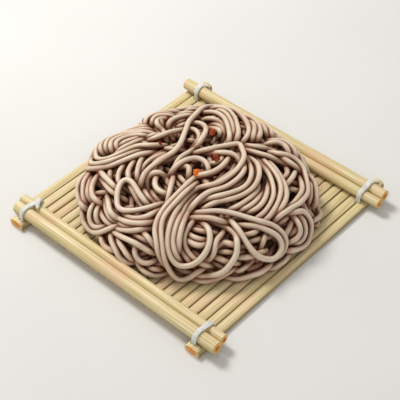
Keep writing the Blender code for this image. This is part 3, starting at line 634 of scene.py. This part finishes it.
def lay_all():
    """Every noodle: those that wander underneath, those of the far side, then the chosen routes."""
    rng = np.random.default_rng(11)
    paths, tops, radii = [], [], []

    def lay(path, cover=None):
        radius = NOODLE_RADIUS * rng.uniform(THINNEST, THICKEST)
        paths.append(path)
        radii.append(radius)
        tops.append(tucked_tops(len(path), radius) if cover is None else np.full(len(path), -radius - cover))

    for _ in range(UNDER_NOODLES):
        lay(wander(rng, UNDER_LENGTH * rng.uniform(SHORTEST, LONGEST), (0.0, 0.0), RIM_WAY), UNDER_COVER)
    for number in range(FAR_NOODLES):
        centre = FAR_OUT * direction(math.radians(FAR_FROM + FAR_SWEEP * (number + 0.5) / FAR_NOODLES))
        lay(wander(rng, FAR_LENGTH * rng.uniform(SHORTEST, LONGEST), centre, FAR_LIMIT), FAR_COVER)
    for route in ROUTES:
        lay(lengthened(smooth_curve(np.array(route) * MM, STEP), TUCK))
    heap = Heap(paths, radii, tops)
    heap.stack(STACK_ROUNDS)
    heap.relax(RELAX_ROUNDS)
    return [(heap.point[heap.owner == number], heap.normal[heap.owner == number], radius * PLUMPNESS)
            for number, radius in enumerate(radii)]


# ---- noodles as tubes

UPPER_TUBE = (12, 1.6 * MM)         # sides of a tube, and the way from ring to ring
LOWER_TUBE = (8, 2.2 * MM)
STEADINESS = 0.8                    # how much a ring keeps of the last ring's upward direction
SWELLS = ((0.03, 9 * MM), (0.02, 4 * MM))   # share by which a noodle swells, and over what length


def ring_numbers(rows, sides, start=0):
    """Numbers of the points of some rings, one row a ring."""
    return np.arange(start, start + rows * sides).reshape(rows, sides)


def ring_faces(index, flipped=False):
    """Faces between rings of points, each ring closed; flipped where the rings turn the other way."""
    after = np.roll(index, -1, axis=1)
    first, *others = index[:-1], index[1:], after[1:], after[:-1]
    return np.stack([first] + (others[::-1] if flipped else others), axis=-1).reshape(-1, 4).tolist()


def capped_tube(rows, sides, start):
    """Faces of a tube with flipped rings, closed at both ends."""
    index = ring_numbers(rows, sides, start)
    return ring_faces(index, flipped=True) + [index[0][::-1].tolist(), index[-1].tolist()]


def tube_rings(noodle, rng, sides, step):
    """Rings of points of one noodle's tube, and the outward direction at each."""
    points, normals_there, plain_radius = noodle
    even = smooth_curve(np.hstack([points, normals_there]), step)
    centre, normal = even[:, :3], even[:, 3:]
    tangent = unit(np.gradient(centre, axis=0))
    up = np.empty_like(centre)
    current = normal[0]
    for row, along in enumerate(tangent):
        current = STEADINESS * current + (1 - STEADINESS) * normal[row]
        current = current - current.dot(along) * along
        current /= np.linalg.norm(current)
        up[row] = current
    side = np.cross(tangent, up)
    way = np.arange(len(centre)) * step
    swell = 1.0
    for size, length in SWELLS:
        swell = swell + size * np.sin(way / length + rng.uniform(0, 6))
    turns = np.linspace(0, FULL_TURN, sides, endpoint=False)
    outward = np.cos(turns)[None, :, None] * side[:, None] + np.sin(turns)[None, :, None] * up[:, None]
    rings = centre[:, None] + (plain_radius * swell)[:, None, None] * outward
    return rings, outward, np.einsum("ijk,ik->ij", outward, normal), way


def noodle_mesh(name, noodles, rng, tube):
    """One mesh of all the given noodles, with the places of its rows for the shading."""
    sides, step = tube
    verts, faces, outwards, facings, uvs, ends, blocks = [], [], [], [], [], [], []
    turn = np.arange(sides) / sides
    corner_turn = np.stack([turn, turn, turn + 1 / sides, turn + 1 / sides], axis=-1)[None]
    total = 0
    for noodle in noodles:
        rings, outward, facing, way = tube_rings(noodle, rng, sides, step)
        rows = len(rings)
        index = ring_numbers(rows, sides, total)
        faces += ring_faces(index)
        ends += [index[0].tolist(), index[-1][::-1].tolist()]
        corner_way = np.stack([way[:-1], way[1:], way[1:], way[:-1]], axis=-1) + rng.uniform(0, 50)
        uvs.append(np.stack([np.broadcast_to(corner_way[:, None], (rows - 1, sides, 4)),
                             np.broadcast_to(corner_turn, (rows - 1, sides, 4))], axis=-1).reshape(-1, 2))
        verts.append(rings.reshape(-1, 3))
        outwards.append(outward.reshape(-1, 3))
        facings.append(facing.reshape(-1))
        blocks.append((total, rows))
        total += rows * sides
    mesh = bpy.data.meshes.new(name)
    mesh.from_pydata(np.vstack(verts).tolist(), [], faces + ends)
    mesh.shade_smooth()
    corners = np.vstack(uvs + [np.zeros((len(ends) * sides, 2))])
    mesh.uv_layers.new(name="along").data.foreach_set("uv", corners.astype(np.float32).reshape(-1))
    return mesh, np.vstack(outwards), np.concatenate(facings), blocks, sides


# ---- shade between the noodles

OPENNESS_RAYS = 12
OPENNESS_REACH = 11.0 * MM
BLOCKED_LIGHT = 0.6                 # a ray that hits something at its full reach counts this much
GOLDEN_ANGLE = math.pi * (3 - math.sqrt(5))
RAY_LIFT = 0.05 * MM                # a ray starts this far over the noodle
GROUND_HALF_SIZE = 0.1


def square(half, z):
    """Corners of a level square."""
    return [(-half, -half, z), (half, -half, z), (half, half, z), (-half, half, z)]


def corners_and_faces(mesh):
    return [vert.co.copy() for vert in mesh.vertices], [list(face.vertices) for face in mesh.polygons]


def surface_tree(meshes):
    """A tree for rays, of some meshes and the mat under them."""
    verts, faces = [], []
    for mesh in meshes:
        own_verts, own_faces = corners_and_faces(mesh)
        faces += [[len(verts) + corner for corner in face] for face in own_faces]
        verts += own_verts
    faces.append(list(range(len(verts), len(verts) + 4)))
    ground = [Vector(corner) for corner in square(GROUND_HALF_SIZE, HEAP_FOOT)]
    return BVHTree.FromPolygons(verts + ground, faces)


def dome_rays():
    """Even directions over a half sphere round +Z."""
    rays = []
    for number in range(OPENNESS_RAYS):
        height = math.sqrt((number + 0.5) / OPENNESS_RAYS)
        flat = math.sqrt(1 - height * height)
        rays.append((flat * math.cos(number * GOLDEN_ANGLE), flat * math.sin(number * GOLDEN_ANGLE), height))
    return np.array(rays)


def open_share(tree, mesh, outward, rng):
    """How much of the rays from each point of a mesh goes free."""
    count = len(outward)
    helper = np.where(np.abs(outward[:, 2:3]) < 0.9, [[0.0, 0.0, 1.0]], [[1.0, 0.0, 0.0]])
    side = unit(np.cross(outward, helper))
    other = np.cross(outward, side)
    spin = rng.uniform(0, FULL_TURN, count)
    cos, sin = np.cos(spin)[:, None], np.sin(spin)[:, None]
    turned_side = cos * side + sin * other
    turned_other = cos * other - sin * side
    lifted = [vert.co + Vector(out) * RAY_LIFT for vert, out in zip(mesh.vertices, outward)]
    free = np.zeros(count)
    for ray in dome_rays():
        directions = ray[0] * turned_side + ray[1] * turned_other + ray[2] * outward
        for index in range(count):
            hit = tree.ray_cast(lifted[index], directions[index], OPENNESS_REACH)[3]
            free[index] += 1.0 if hit is None else hit / OPENNESS_REACH * BLOCKED_LIGHT
    return free / OPENNESS_RAYS


def softened(block):
    """Values on the rings of one tube, evened out twice round and along it."""
    for _ in range(2):
        block = 0.5 * block + 0.25 * (np.roll(block, 1, axis=1) + np.roll(block, -1, axis=1))
        padded = np.vstack([block[:1], block, block[-1:]])
        block = 0.5 * block + 0.25 * (padded[:-2] + padded[2:])
    return block


def shade_noodles(parts):
    """Stores on each point how open its surroundings are and how far it faces out of the heap; the noodles'
    colour uses both as painted shade, dark between the noodles.
    """
    tree = surface_tree([part[0] for part in parts])
    rng = np.random.default_rng(3)
    for mesh, outward, facing, blocks, sides in parts:
        free = open_share(tree, mesh, outward, rng)
        for start, rows in blocks:
            own = slice(start, start + rows * sides)
            free[own] = softened(free[own].reshape(rows, sides)).reshape(-1)
        # Both values are painted shade: they darken the noodles' colour in the gaps and on their sides and
        # undersides.
        store_values(mesh, "openness", free)
        store_values(mesh, "facing", 0.5 + 0.5 * facing)


def store_values(mesh, name, values):
    store = mesh.attributes.new(name, "FLOAT", "POINT")
    store.data.foreach_set("value", np.asarray(values, dtype=np.float32))


# ---- the core

CORE_RINGS, CORE_SECTORS = 60, 180
CORE_STRANDS = 45                   # random paths that stand out of the core as ridges
CORE_STRAND_LENGTH = 200.0 * MM
RIDGE_HALF_WIDTH = 2.6 * MM
RIDGE_HEIGHT = 2.4 * MM
CORE_COVER = 0.6 * MM               # between the core's valleys and the depth the noodles stop at
CORE_EDGE = 0.995                   # share of the way to the rim
CORE_OVER_MAT = 0.1 * MM


def build_core():
    """The inside of the heap, under the gaps between the noodles, coloured dark reddish brown as painted
    shade.
    """
    rng = np.random.default_rng(21)
    angle = np.linspace(0, FULL_TURN, CORE_SECTORS, endpoint=False)
    around = np.stack([np.cos(angle), np.sin(angle)], axis=1)
    edge = CORE_EDGE * RIM_WAY
    places = np.vstack([edge * ring / CORE_RINGS * around for ring in range(1, CORE_RINGS + 1)])
    strands = [wander(rng, CORE_STRAND_LENGTH, (0.0, 0.0), RIM_WAY) for _ in range(CORE_STRANDS)]
    tree = point_tree([(*place, 0.0) for place in np.vstack(strands)])
    nearest = np.array([tree.find((*place, 0.0))[2] for place in places])
    ridge = np.sqrt(np.maximum(1.0 - (nearest / RIDGE_HALF_WIDTH) ** 2, 0.0)) * RIDGE_HEIGHT
    point = skin_point(places) - skin_normal(places) * (CORE_DEPTH + CORE_COVER - ridge)[:, None]
    point[:, 2] = np.maximum(point[:, 2], HEAP_FOOT + CORE_OVER_MAT)
    index = ring_numbers(CORE_RINGS, CORE_SECTORS)
    ends = [index[0].tolist(), index[-1][::-1].tolist()]
    mesh = bpy.data.meshes.new("noodle_core")
    mesh.from_pydata(point.tolist(), [], ring_faces(index) + ends)
    mesh.shade_smooth()
    return mesh


# ---- cords

CORD_THICKNESS = 1.3 * MM
CORD_WIDTH_SHARE = 0.985            # of its solid's width
CORD_GAP = 0.3 * MM                 # between the rods and the cord
CORD_CORNER = 0.9 * MM              # radius of its bends under the slat
CORD_SHOULDER = 8.3 * MM            # height of the bend at the outer side of the far cords
CORD_PLIES = 3
CORD_SQUEEZE = 0.14                 # share by which the cord is narrower in places
CORD_SWAY = 0.05 * MM               # to the side
CORD_ROWS, CORD_SIDES = 150, 48
OUTLINE_DIRECTIONS = 720

# The plump second turn over the inner rod at one corner.
SECOND_TURN_NODE = "lashing_near_left"
SECOND_TURN_FROM, SECOND_TURN_TO = -14.0, 140.0     # degrees round the rod, from the noodles' side
SECOND_TURN_ASIDE = 5.0 * MM        # it goes down between the rods this far beside the first
SECOND_TURN_THICKNESS = 2.3 * MM
SECOND_TURN_WIDTH = 4.2 * MM
SECOND_TURN_ROWS, SECOND_TURN_SIDES = 60, 32


def rod_circle(name):
    """Middle (y, z) and radius of a rod."""
    low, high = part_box(name)
    return (low.y + high.y) / 2, (low.z + high.z) / 2, (high.z - low.z) / 2


def cord_outline(node, rods):
    """Middle line and outward normals, in the YZ plane, of a cord drawn tight round its rods."""
    low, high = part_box(node)
    half = CORD_THICKNESS / 2
    inset = half + CORD_CORNER
    circles = [(y, z, radius + CORD_GAP + half) for y, z, radius in map(rod_circle, rods)]
    corners = [(low.y + inset, low.z + inset), (high.y - inset, low.z + inset)]
    if "far" in node:
        corners.append((high.y - inset, CORD_SHOULDER))
    circles += [(y, z, CORD_CORNER) for y, z in corners]
    line, outward = [], []
    for step in range(OUTLINE_DIRECTIONS):
        normal = direction(FULL_TURN * step / OUTLINE_DIRECTIONS)
        y, z, radius = max(circles, key=lambda c: c[0] * normal[0] + c[1] * normal[1] + c[2])
        line.append((y + radius * normal[0], z + radius * normal[1]))
        outward.append(normal)
    line = np.array(line + line[:1])
    outward = np.array(outward + outward[:1])
    way = way_along(line)
    even = np.linspace(0, way[-1], CORD_ROWS, endpoint=False)
    return at_ways(even, way, line), unit(at_ways(even, way, outward)), even / way[-1]


def blunt(value, power):
    """A power that keeps the sign."""
    return np.sign(value) * np.abs(value) ** power


def cord_section(share, width, shift):
    """Across and outward offsets of the cord's outline at one place: plied, plump and flat."""
    turns = np.linspace(0, FULL_TURN, CORD_SIDES, endpoint=False)
    across = blunt(np.cos(turns), 0.8) * width / 2
    out = blunt(np.sin(turns), 0.75) * CORD_THICKNESS / 2
    ridge = np.abs(np.sin(CORD_PLIES * math.pi * (across / width) + FULL_TURN * share + shift))
    return across, out * (0.80 + 0.20 * ridge ** 0.7)


def build_cord(name, node, rods, shift):
    """One closed turn of soft cotton cord, and the second turn where the cord has one."""
    low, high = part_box(node)
    x = (low.x + high.x) / 2
    width = (high.x - low.x) * CORD_WIDTH_SHARE
    verts = []
    for (y, z), (ny, nz), share in zip(*cord_outline(node, rods)):
        squeeze = 1.0 - CORD_SQUEEZE * (0.5 + 0.5 * math.sin(3 * FULL_TURN * share + shift))
        across, out = cord_section(share, width * squeeze, shift)
        sway = CORD_SWAY * math.sin(2 * FULL_TURN * share + 2 * shift)
        verts += np.stack([x + across + sway, y + out * ny, z + out * nz], axis=1).tolist()
    index = ring_numbers(CORD_ROWS, CORD_SIDES)
    faces = ring_faces(np.vstack([index, index[:1]]), flipped=True)
    if node == SECOND_TURN_NODE:
        faces += capped_tube(SECOND_TURN_ROWS, SECOND_TURN_SIDES, len(verts))
        verts += second_turn(x, rods[-1])
    mesh = bpy.data.meshes.new(name)
    mesh.from_pydata(verts, [], faces)
    mesh.shade_smooth()
    return mesh


def limited(value, low=0, high=1):
    return min(max(value, low), high)


def second_turn(x, rod):
    """Points of the second turn: over the first turn, then down between the rods beside it."""
    y, z, radius = rod_circle(rod)
    verts = []
    for row in range(SECOND_TURN_ROWS):
        along = row / (SECOND_TURN_ROWS - 1)
        angle = math.radians(SECOND_TURN_FROM + (SECOND_TURN_TO - SECOND_TURN_FROM) * along)
        aside = SECOND_TURN_ASIDE * (0.5 - 0.5 * math.cos(math.pi * limited((along - 0.30) / 0.70)))
        over = 1 - limited((aside / MM - 1.8) / 1.8)
        plump = max(math.sin(math.pi * limited(along, 0.015, 0.985)), 0.0) ** 0.45
        thick_end = min(1, 12 * along + 0.15, 7 * (1 - along) + 0.10)
        wide_end = min(1, 12 * along + 0.2, 5 * (1 - along) + 0.15)
        thick = SECOND_TURN_THICKNESS * (0.45 + 0.55 * plump) * thick_end
        wide = SECOND_TURN_WIDTH * (0.35 + 0.65 * plump) * wide_end
        lift = radius + CORD_GAP + thick / 2 + over * (CORD_THICKNESS + 0.1 * MM)
        for corner in range(SECOND_TURN_SIDES):
            turn = FULL_TURN * corner / SECOND_TURN_SIDES
            ridge = 1 + 0.07 * math.cos(7 * turn + 5 * along)
            out = lift + thick / 2 * ridge * math.sin(turn)
            across = x + aside + wide / 2 * ridge * math.cos(turn)
            verts.append((across, y + out * math.cos(angle), z + out * math.sin(angle)))
    return verts


# ---- chilli flakes

FLAKE_HALF_DEPTH = 0.75             # in mm
FLAKE_START = 6.0 * MM              # over the skin, where the search for the nearest noodle starts
FLAKE_ROWS, FLAKE_SIDES = 18, 16
# In mm and degrees: unrolled place, heading, half length, half width, how deep it lies, ripeness.
FLAKES = (
    (-16.0, 30.0, -58.0, 4.4, 2.4, 1.0, 0.1),
    (4.5, 11.5, -40.0, 4.2, 2.2, 0.6, 0.0),
    (2.4, -7.2, -48.0, 4.0, 2.4, 1.2, 1.0),
    (-39.0, -1.5, 20.0, 2.4, 1.4, 1.5, 0.0),
    (-54.5, 25.0, -20.0, 1.7, 1.1, 1.0, 0.1),
)


def flake_points(half_length, half_width, lobes):
    """Points of one bent flake, in millimetres ahead, aside and up from its middle."""
    for row in range(FLAKE_ROWS):
        s = -1 + 2 * (row + 0.5) / FLAKE_ROWS
        full = max(1 - abs(s) ** 2.6, 0.02) ** 0.5
        bend = -0.9 * s * s + 0.3 * math.sin(4 * s + lobes[2])
        curl = 0.8 * s * s * math.sin(lobes[3])
        for corner in range(FLAKE_SIDES):
            a = FULL_TURN * corner / FLAKE_SIDES
            rough = 1 + 0.13 * math.sin(3 * a + lobes[0] + 2 * s) + 0.09 * math.sin(5 * s + lobes[1] + a)
            yield (s * half_length, half_width * full * rough * math.cos(a) + curl,
                   FLAKE_HALF_DEPTH * full * rough * math.sin(a) + bend)


def build_flakes(ground):
    """Small bent bits of red chilli lying in the heap's hollows."""
    rng = np.random.default_rng(9)
    verts, faces, ripe = [], [], []
    for u, v, heading, half_length, half_width, sunk, ripeness in FLAKES:
        place = np.array([[u, v]]) * MM
        normal = skin_normal(place)[0]
        skin = skin_point(place)[0]
        near = np.array(ground.find_nearest(Vector(skin + normal * FLAKE_START))[0])
        middle = skin + normal * ((near - skin).dot(normal) - sunk * MM)
        side = unit(np.cross(normal, (*direction(math.radians(heading)), 0.0))[None])[0]
        axes = np.array([np.cross(side, normal), side, normal]) * MM
        points = np.array(list(flake_points(half_length, half_width, rng.uniform(0, 6, 4))))
        faces += capped_tube(FLAKE_ROWS, FLAKE_SIDES, len(verts))
        ripe += [ripeness] * len(points)
        verts += (middle + points @ axes).tolist()
    mesh = bpy.data.meshes.new("chilli_flakes")
    mesh.from_pydata(verts, [], faces)
    mesh.shade_smooth()
    store_values(mesh, "ripeness", ripe)
    return mesh


# ---- materials

FIBRE_BUMP = 0.0002                 # how far the fibres stand out, in metres


def grey(level):
    return (level, level, level)


class Nodes:
    """A material's node tree, built link by link."""

    def __init__(self, name):
        self.material = bpy.data.materials.new(name)
        self.material.use_nodes = True
        self.tree = self.material.node_tree
        self.shader = self.tree.nodes["Principled BSDF"]
        self.place = self.add("TexCoord").outputs["Object"]

    def add(self, kind, inputs=None, **settings):
        node = self.tree.nodes.new("ShaderNode" + kind)
        for key, value in settings.items():
            setattr(node, key, value)
        for key, value in (inputs or {}).items():
            self.feed(node.inputs[key], value)
        return node

    def feed(self, socket, value):
        """Links a socket or sets its value; a colour of three numbers is solid."""
        if isinstance(value, bpy.types.NodeSocket):
            self.tree.links.new(value, socket)
        elif socket.type == "RGBA":
            socket.default_value = (*value, 1)
        else:
            socket.default_value = value

    def ramp(self, factor, *stops):
        node = self.add("ValToRGB", {"Fac": factor})
        elements = node.color_ramp.elements
        for position, colour in stops[1:-1]:
            elements.new(position).color = (*colour, 1)
        for element, (position, colour) in ((elements[0], stops[0]), (elements[-1], stops[-1])):
            element.position, element.color = position, (*colour, 1)
        return node.outputs["Color"]

    def math(self, operation, *values):
        return self.add("Math", dict(enumerate(values)), operation=operation).outputs[0]

    def mix(self, factor, first, second):
        return self.add("Mix", {"Factor": factor, 6: first, 7: second}, data_type="RGBA").outputs[2]

    def patches(self, factor, low, high, strength, under, over):
        """Lays a colour over another where the factor is high, fading in from low to high."""
        return self.mix(self.ramp(factor, (low, grey(0)), (high, grey(strength))), under, over)

    def noise(self, vector, scale, detail=2.0):
        return self.add("TexNoise", {"Vector": vector, "Scale": scale, "Detail": detail}).outputs["Fac"]

    def fibres(self, vector, scale, detail=2.0):
        """Noise drawn out to fibres, finer along the axes where the scale is larger."""
        stretched = self.add("Mapping", {"Vector": vector, "Scale": scale}).outputs["Vector"]
        return self.noise(stretched, 1.0, detail)

    def stored(self, name):
        return self.add("Attribute", attribute_name=name).outputs["Fac"]

    def split(self, vector):
        return self.add("SeparateXYZ", {"Vector": vector}).outputs

    def facing_axis(self):
        return self.split(self.add("NewGeometry").outputs["True Normal"])

    def finish(self, colour, roughness, specular=0.5, height=None, strength=0.5):
        """Feeds the shader, with a bump where there is a height, and hands back the material."""
        self.feed(self.shader.inputs["Base Color"], colour)
        self.feed(self.shader.inputs["Roughness"], roughness)
        self.feed(self.shader.inputs["Specular IOR Level"], specular)
        if height is not None:
            bump = self.add("Bump", {"Strength": strength, "Distance": FIBRE_BUMP, "Height": height})
            self.feed(self.shader.inputs["Normal"], bump.outputs["Normal"])
        return self.material


def soba_material():
    """Cooked buckwheat noodle: pinkish beige and finely streaked, with painted shade, dark and reddish, in
    the creases between the noodles and on their sides and undersides.
    """
    nodes = Nodes("soba_noodle")
    along = nodes.add("UVMap", uv_map="along").outputs["UV"]
    streak = nodes.fibres(along, (90.0, 9.0, 1.0), 3.0)
    # Painted shade: lit is low where a noodle is closed in by others and on its sides and underside, which
    # face into the heap.
    painted_side_shade = nodes.math("MULTIPLY_ADD", nodes.stored("facing"), 0.62, 0.5)
    lit = nodes.math("MULTIPLY", nodes.stored("openness"), painted_side_shade)
    lit = nodes.math("ADD", lit, nodes.math("MULTIPLY", nodes.math("SUBTRACT", streak, 0.5), 0.22))
    # The ramp turns that painted shade into colour: dark reddish brown in the creases, pale beige on the open
    # tops.
    colour = nodes.ramp(lit, (0.14, (0.085, 0.022, 0.005)), (0.33, (0.18, 0.065, 0.028)),
                        (0.54, (0.37, 0.205, 0.125)), (0.76, (0.60, 0.43, 0.30)), (1.0, (0.75, 0.62, 0.48)))
    colour = nodes.patches(nodes.noise(nodes.place, 55.0), 0.48, 0.72, 0.4, colour, (0.50, 0.25, 0.18))
    colour = nodes.patches(nodes.noise(nodes.place, 1500.0), 0.66, 0.74, 0.45, colour, (0.20, 0.10, 0.07))
    return nodes.finish(colour, 0.42, 0.35, streak, 0.35)


def core_material():
    nodes = Nodes("soba_core_painted_shade")
    # Painted shade: the core is dark reddish brown where the shaded depths of the heap show through the gaps.
    grain = nodes.noise(nodes.place, 160.0, 3.0)
    return nodes.finish(nodes.ramp(grain, (0.3, (0.07, 0.020, 0.005)), (0.7, (0.17, 0.062, 0.026))), 0.5)


def bamboo_colour(nodes, along_axis):
    """Straw with fibres along one axis, olive bands and pinkish patches; also the fibres alone."""
    fine = [1500.0, 1500.0, 1500.0]
    fine[along_axis] = 26.0
    broad = [260.0, 260.0, 260.0]
    broad[along_axis] = 9.0
    fibre = nodes.fibres(nodes.place, fine, 3.0)
    colour = nodes.ramp(fibre, (0.26, (0.50, 0.36, 0.15)), (0.5, (0.74, 0.60, 0.33)),
                        (0.74, (0.93, 0.83, 0.56)))
    colour = nodes.patches(nodes.fibres(nodes.place, broad), 0.40, 0.75, 0.55, colour, (0.56, 0.47, 0.16))
    return nodes.patches(nodes.noise(nodes.place, 38.0), 0.50, 0.70, 0.5, colour, (0.78, 0.47, 0.30)), fibre


def slat_material(name, low, high):
    """Split bamboo, fibres along Y, with sides darkened brown as painted shade between the slats, and cut
    ends of orange pith inside a pale rind.
    """
    nodes = Nodes("split_bamboo_" + name)
    colour, fibre = bamboo_colour(nodes, 1)
    axis = nodes.facing_axis()
    # Painted shade: the sides facing along X, towards the neighbouring slats, are darkened to brown.
    side = nodes.math("ABSOLUTE", axis["X"])
    colour = nodes.patches(side, 0.55, 0.95, 0.85, colour, (0.30, 0.20, 0.07))
    spot = nodes.split(nodes.place)
    out = nodes.math("MULTIPLY", nodes.noise(nodes.place, 600.0, 3.0), 0.25)
    for key, least, most in (("X", low.x, high.x), ("Z", low.z, high.z)):
        apart = nodes.math("SUBTRACT", spot[key], (least + most) / 2)
        share = nodes.math("DIVIDE", apart, (most - least) / 2)
        out = nodes.math("ADD", out, nodes.math("POWER", share, 2.0))
    pith = nodes.ramp(nodes.noise(nodes.place, 900.0, 3.0),
                      (0.35, (0.60, 0.17, 0.015)), (0.65, (0.95, 0.43, 0.05)))
    rind = nodes.ramp(fibre, (0.3, (0.66, 0.44, 0.20)), (0.7, (0.86, 0.68, 0.38)))
    cut = nodes.patches(out, 0.62, 0.86, 1, pith, rind)
    end = nodes.math("ABSOLUTE", axis["Y"])
    return nodes.finish(nodes.patches(end, 0.6, 0.8, 1, colour, cut), 0.55, height=fibre)


def rod_material(name):
    """Round bamboo, fibres along X, with painted shade in olive on its lower side, orange cut ends with a
    darker ring and a pale pith.
    """
    nodes = Nodes("bamboo_" + name)
    y, z, radius = rod_circle(name)
    colour, fibre = bamboo_colour(nodes, 0)
    axis = nodes.facing_axis()
    # Painted shade: the lower side, facing down, is tinted darker olive.
    painted_underside_shade = nodes.math("MULTIPLY_ADD", axis["Z"], -0.5, 0.5)
    colour = nodes.patches(painted_underside_shade, 0.25, 0.8, 0.7, colour, (0.42, 0.36, 0.10))
    spot = nodes.split(nodes.place)
    squares = (nodes.math("POWER", nodes.math("SUBTRACT", spot[key], middle), 2.0)
               for key, middle in (("Y", y), ("Z", z)))
    out = nodes.math("DIVIDE", nodes.math("SQRT", nodes.math("ADD", *squares)), radius)
    out = nodes.math("ADD", out, nodes.math("MULTIPLY", nodes.noise(nodes.place, 700.0, 3.0), 0.12))
    ring = nodes.ramp(out, (0.34, (0.90, 0.60, 0.20)), (0.56, (0.66, 0.27, 0.04)), (0.70, (0.86, 0.44, 0.07)),
                      (0.90, (0.82, 0.46, 0.11)), (1.0, (0.42, 0.15, 0.03)))
    end = nodes.ramp(nodes.math("ABSOLUTE", axis["X"]), (0.6, grey(0)), (0.8, grey(1)))
    inside = nodes.ramp(out, (0.84, grey(1)), (0.90, grey(0)))
    return nodes.finish(nodes.mix(nodes.math("MAXIMUM", end, inside), colour, ring), 0.52, height=fibre)


def cord_material():
    """Off-white cotton, with faint greenish and pinkish patches."""
    nodes = Nodes("cotton_cord")
    fibre = nodes.fibres(nodes.place, (2600.0, 500.0, 500.0), 3.0)
    colour = nodes.ramp(fibre, (0.3, (0.56, 0.57, 0.53)), (0.6, (0.82, 0.82, 0.79)))
    colour = nodes.patches(nodes.noise(nodes.place, 220.0), 0.50, 0.68, 0.6, colour, (0.50, 0.53, 0.42))
    blush = nodes.fibres(nodes.place, (260.0, 312.0, 364.0))
    colour = nodes.patches(blush, 0.52, 0.70, 0.5, colour, (0.72, 0.60, 0.60))
    return nodes.finish(colour, 0.8, height=fibre, strength=0.4)


def flake_material():
    """Chilli, from orange to dark red by its ripeness."""
    nodes = Nodes("chilli")
    grain = nodes.noise(nodes.place, 420.0, 3.0)
    red = nodes.ramp(grain, (0.30, (0.09, 0.009, 0.003)), (0.52, (0.23, 0.028, 0.007)),
                     (0.72, (0.42, 0.085, 0.013)))
    orange = nodes.ramp(grain, (0.30, (0.42, 0.06, 0.006)), (0.52, (0.74, 0.18, 0.010)),
                        (0.72, (0.88, 0.34, 0.03)))
    return nodes.finish(nodes.mix(nodes.stored("ripeness"), red, orange), 0.7, 0.15)


def floor_material():
    nodes = Nodes("pale_floor")
    cloud = nodes.noise(nodes.place, 9.0)
    return nodes.finish(nodes.ramp(cloud, (0.3, (0.735, 0.728, 0.705)), (0.7, (0.755, 0.748, 0.725))), 0.95)


# ---- the camera, the floor and the lights

CAMERA_DISTANCE = 789.0 * MM
CAMERA_TARGET = Vector((-6.23 * MM, 5.0 * MM, 0.0))
CAMERA_LENS, CAMERA_SENSOR = 100.14, 36.0   # in mm
FLOOR_HALF_SIZE = 3.0
SKY_COLOUR, SKY_STRENGTH = (1.0, 0.99, 0.975), 0.52
LIGHTS = (                          # name, place, width, power, colour
    ("key", (-0.62, 0.04, 0.86), 0.38, 8.0, (1.0, 0.985, 0.95)),
    ("fill", (0.7, -0.6, 0.7), 0.9, 1.0, (1, 1, 1)),
)


def put(name, data, material=None):
    """Puts an object into the scene."""
    piece = bpy.data.objects.new(name, data)
    bpy.context.scene.collection.objects.link(piece)
    if material is not None:
        data.materials.append(material)
    return piece


def aim(piece, place, backwards):
    """Places a camera or a light; its back looks in the direction given."""
    piece.location = place
    piece.rotation_euler = backwards.to_track_quat("Z", "Y").to_euler()


def add_camera():
    data = bpy.data.cameras.new("camera")
    data.lens = CAMERA_LENS
    data.sensor_width = CAMERA_SENSOR
    camera = put("camera", data)
    away = Vector(TO_CAMERA)
    aim(camera, CAMERA_TARGET + away * CAMERA_DISTANCE, away)
    bpy.context.scene.camera = camera


def add_lights():
    for name, place, width, power, colour in LIGHTS:
        data = bpy.data.lights.new(name, "AREA")
        data.shape = "DISK"
        data.size = width
        data.energy = power
        data.color = colour
        aim(put(name, data), place, Vector(place))
    world = bpy.data.worlds.new("studio")
    bpy.context.scene.world = world
    world.use_nodes = True
    sky = world.node_tree.nodes["Background"].inputs
    sky["Color"].default_value = (*SKY_COLOUR, 1)
    sky["Strength"].default_value = SKY_STRENGTH
    bpy.context.scene.view_settings.view_transform = "Standard"


def add_floor():
    mesh = bpy.data.meshes.new("floor")
    mesh.from_pydata(square(FLOOR_HALF_SIZE, 0.0), [], [(0, 1, 2, 3)])
    put("floor", mesh, floor_material())


# ---- the whole

def add_noodles():
    rng = np.random.default_rng(5)
    noodles = lay_all()
    upper = noodle_mesh("noodles_upper", noodles[UNDER_NOODLES:], rng, UPPER_TUBE)
    lower = noodle_mesh("noodles_lower", noodles[:UNDER_NOODLES], rng, LOWER_TUBE)
    shade_noodles([upper, lower])
    soba = soba_material()
    pieces = [put("noodles_upper", upper[0], soba), put("noodles_lower", lower[0], soba),
              put("noodle_core", build_core(), core_material())]
    for piece in pieces:
        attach(piece, "root")
        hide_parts("noodle_heap")
    ground = BVHTree.FromPolygons(*corners_and_faces(upper[0]))
    flakes = put("chilli_flakes", build_flakes(ground), flake_material())
    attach(flakes, "root")


def dress_mat():
    for name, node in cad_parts.items():
        if name.startswith("slat"):
            node.material_slots[0].material = slat_material(name, *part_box(name))
        elif name.startswith("rod"):
            node.material_slots[0].material = rod_material(name)


def add_cords():
    cotton = cord_material()
    corners = (("near_left", ("rod_near_outer", "rod_near_inner")),
               ("near_right", ("rod_near_outer", "rod_near_inner")),
               ("far_left", ("rod_far_outer",)),
               ("far_right", ("rod_far_outer", "rod_far_inner")))
    for number, (corner, rods) in enumerate(corners):
        node = "lashing_" + corner
        shift = 0.7 + 1.3 * number      # so that no two cords are alike
        cord = put("cord_" + corner, build_cord("cord_" + corner, node, rods, shift), cotton)
        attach(cord, "root")
        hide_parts(node)


add_noodles()
dress_mat()
add_cords()
add_floor()
add_lights()
add_camera()
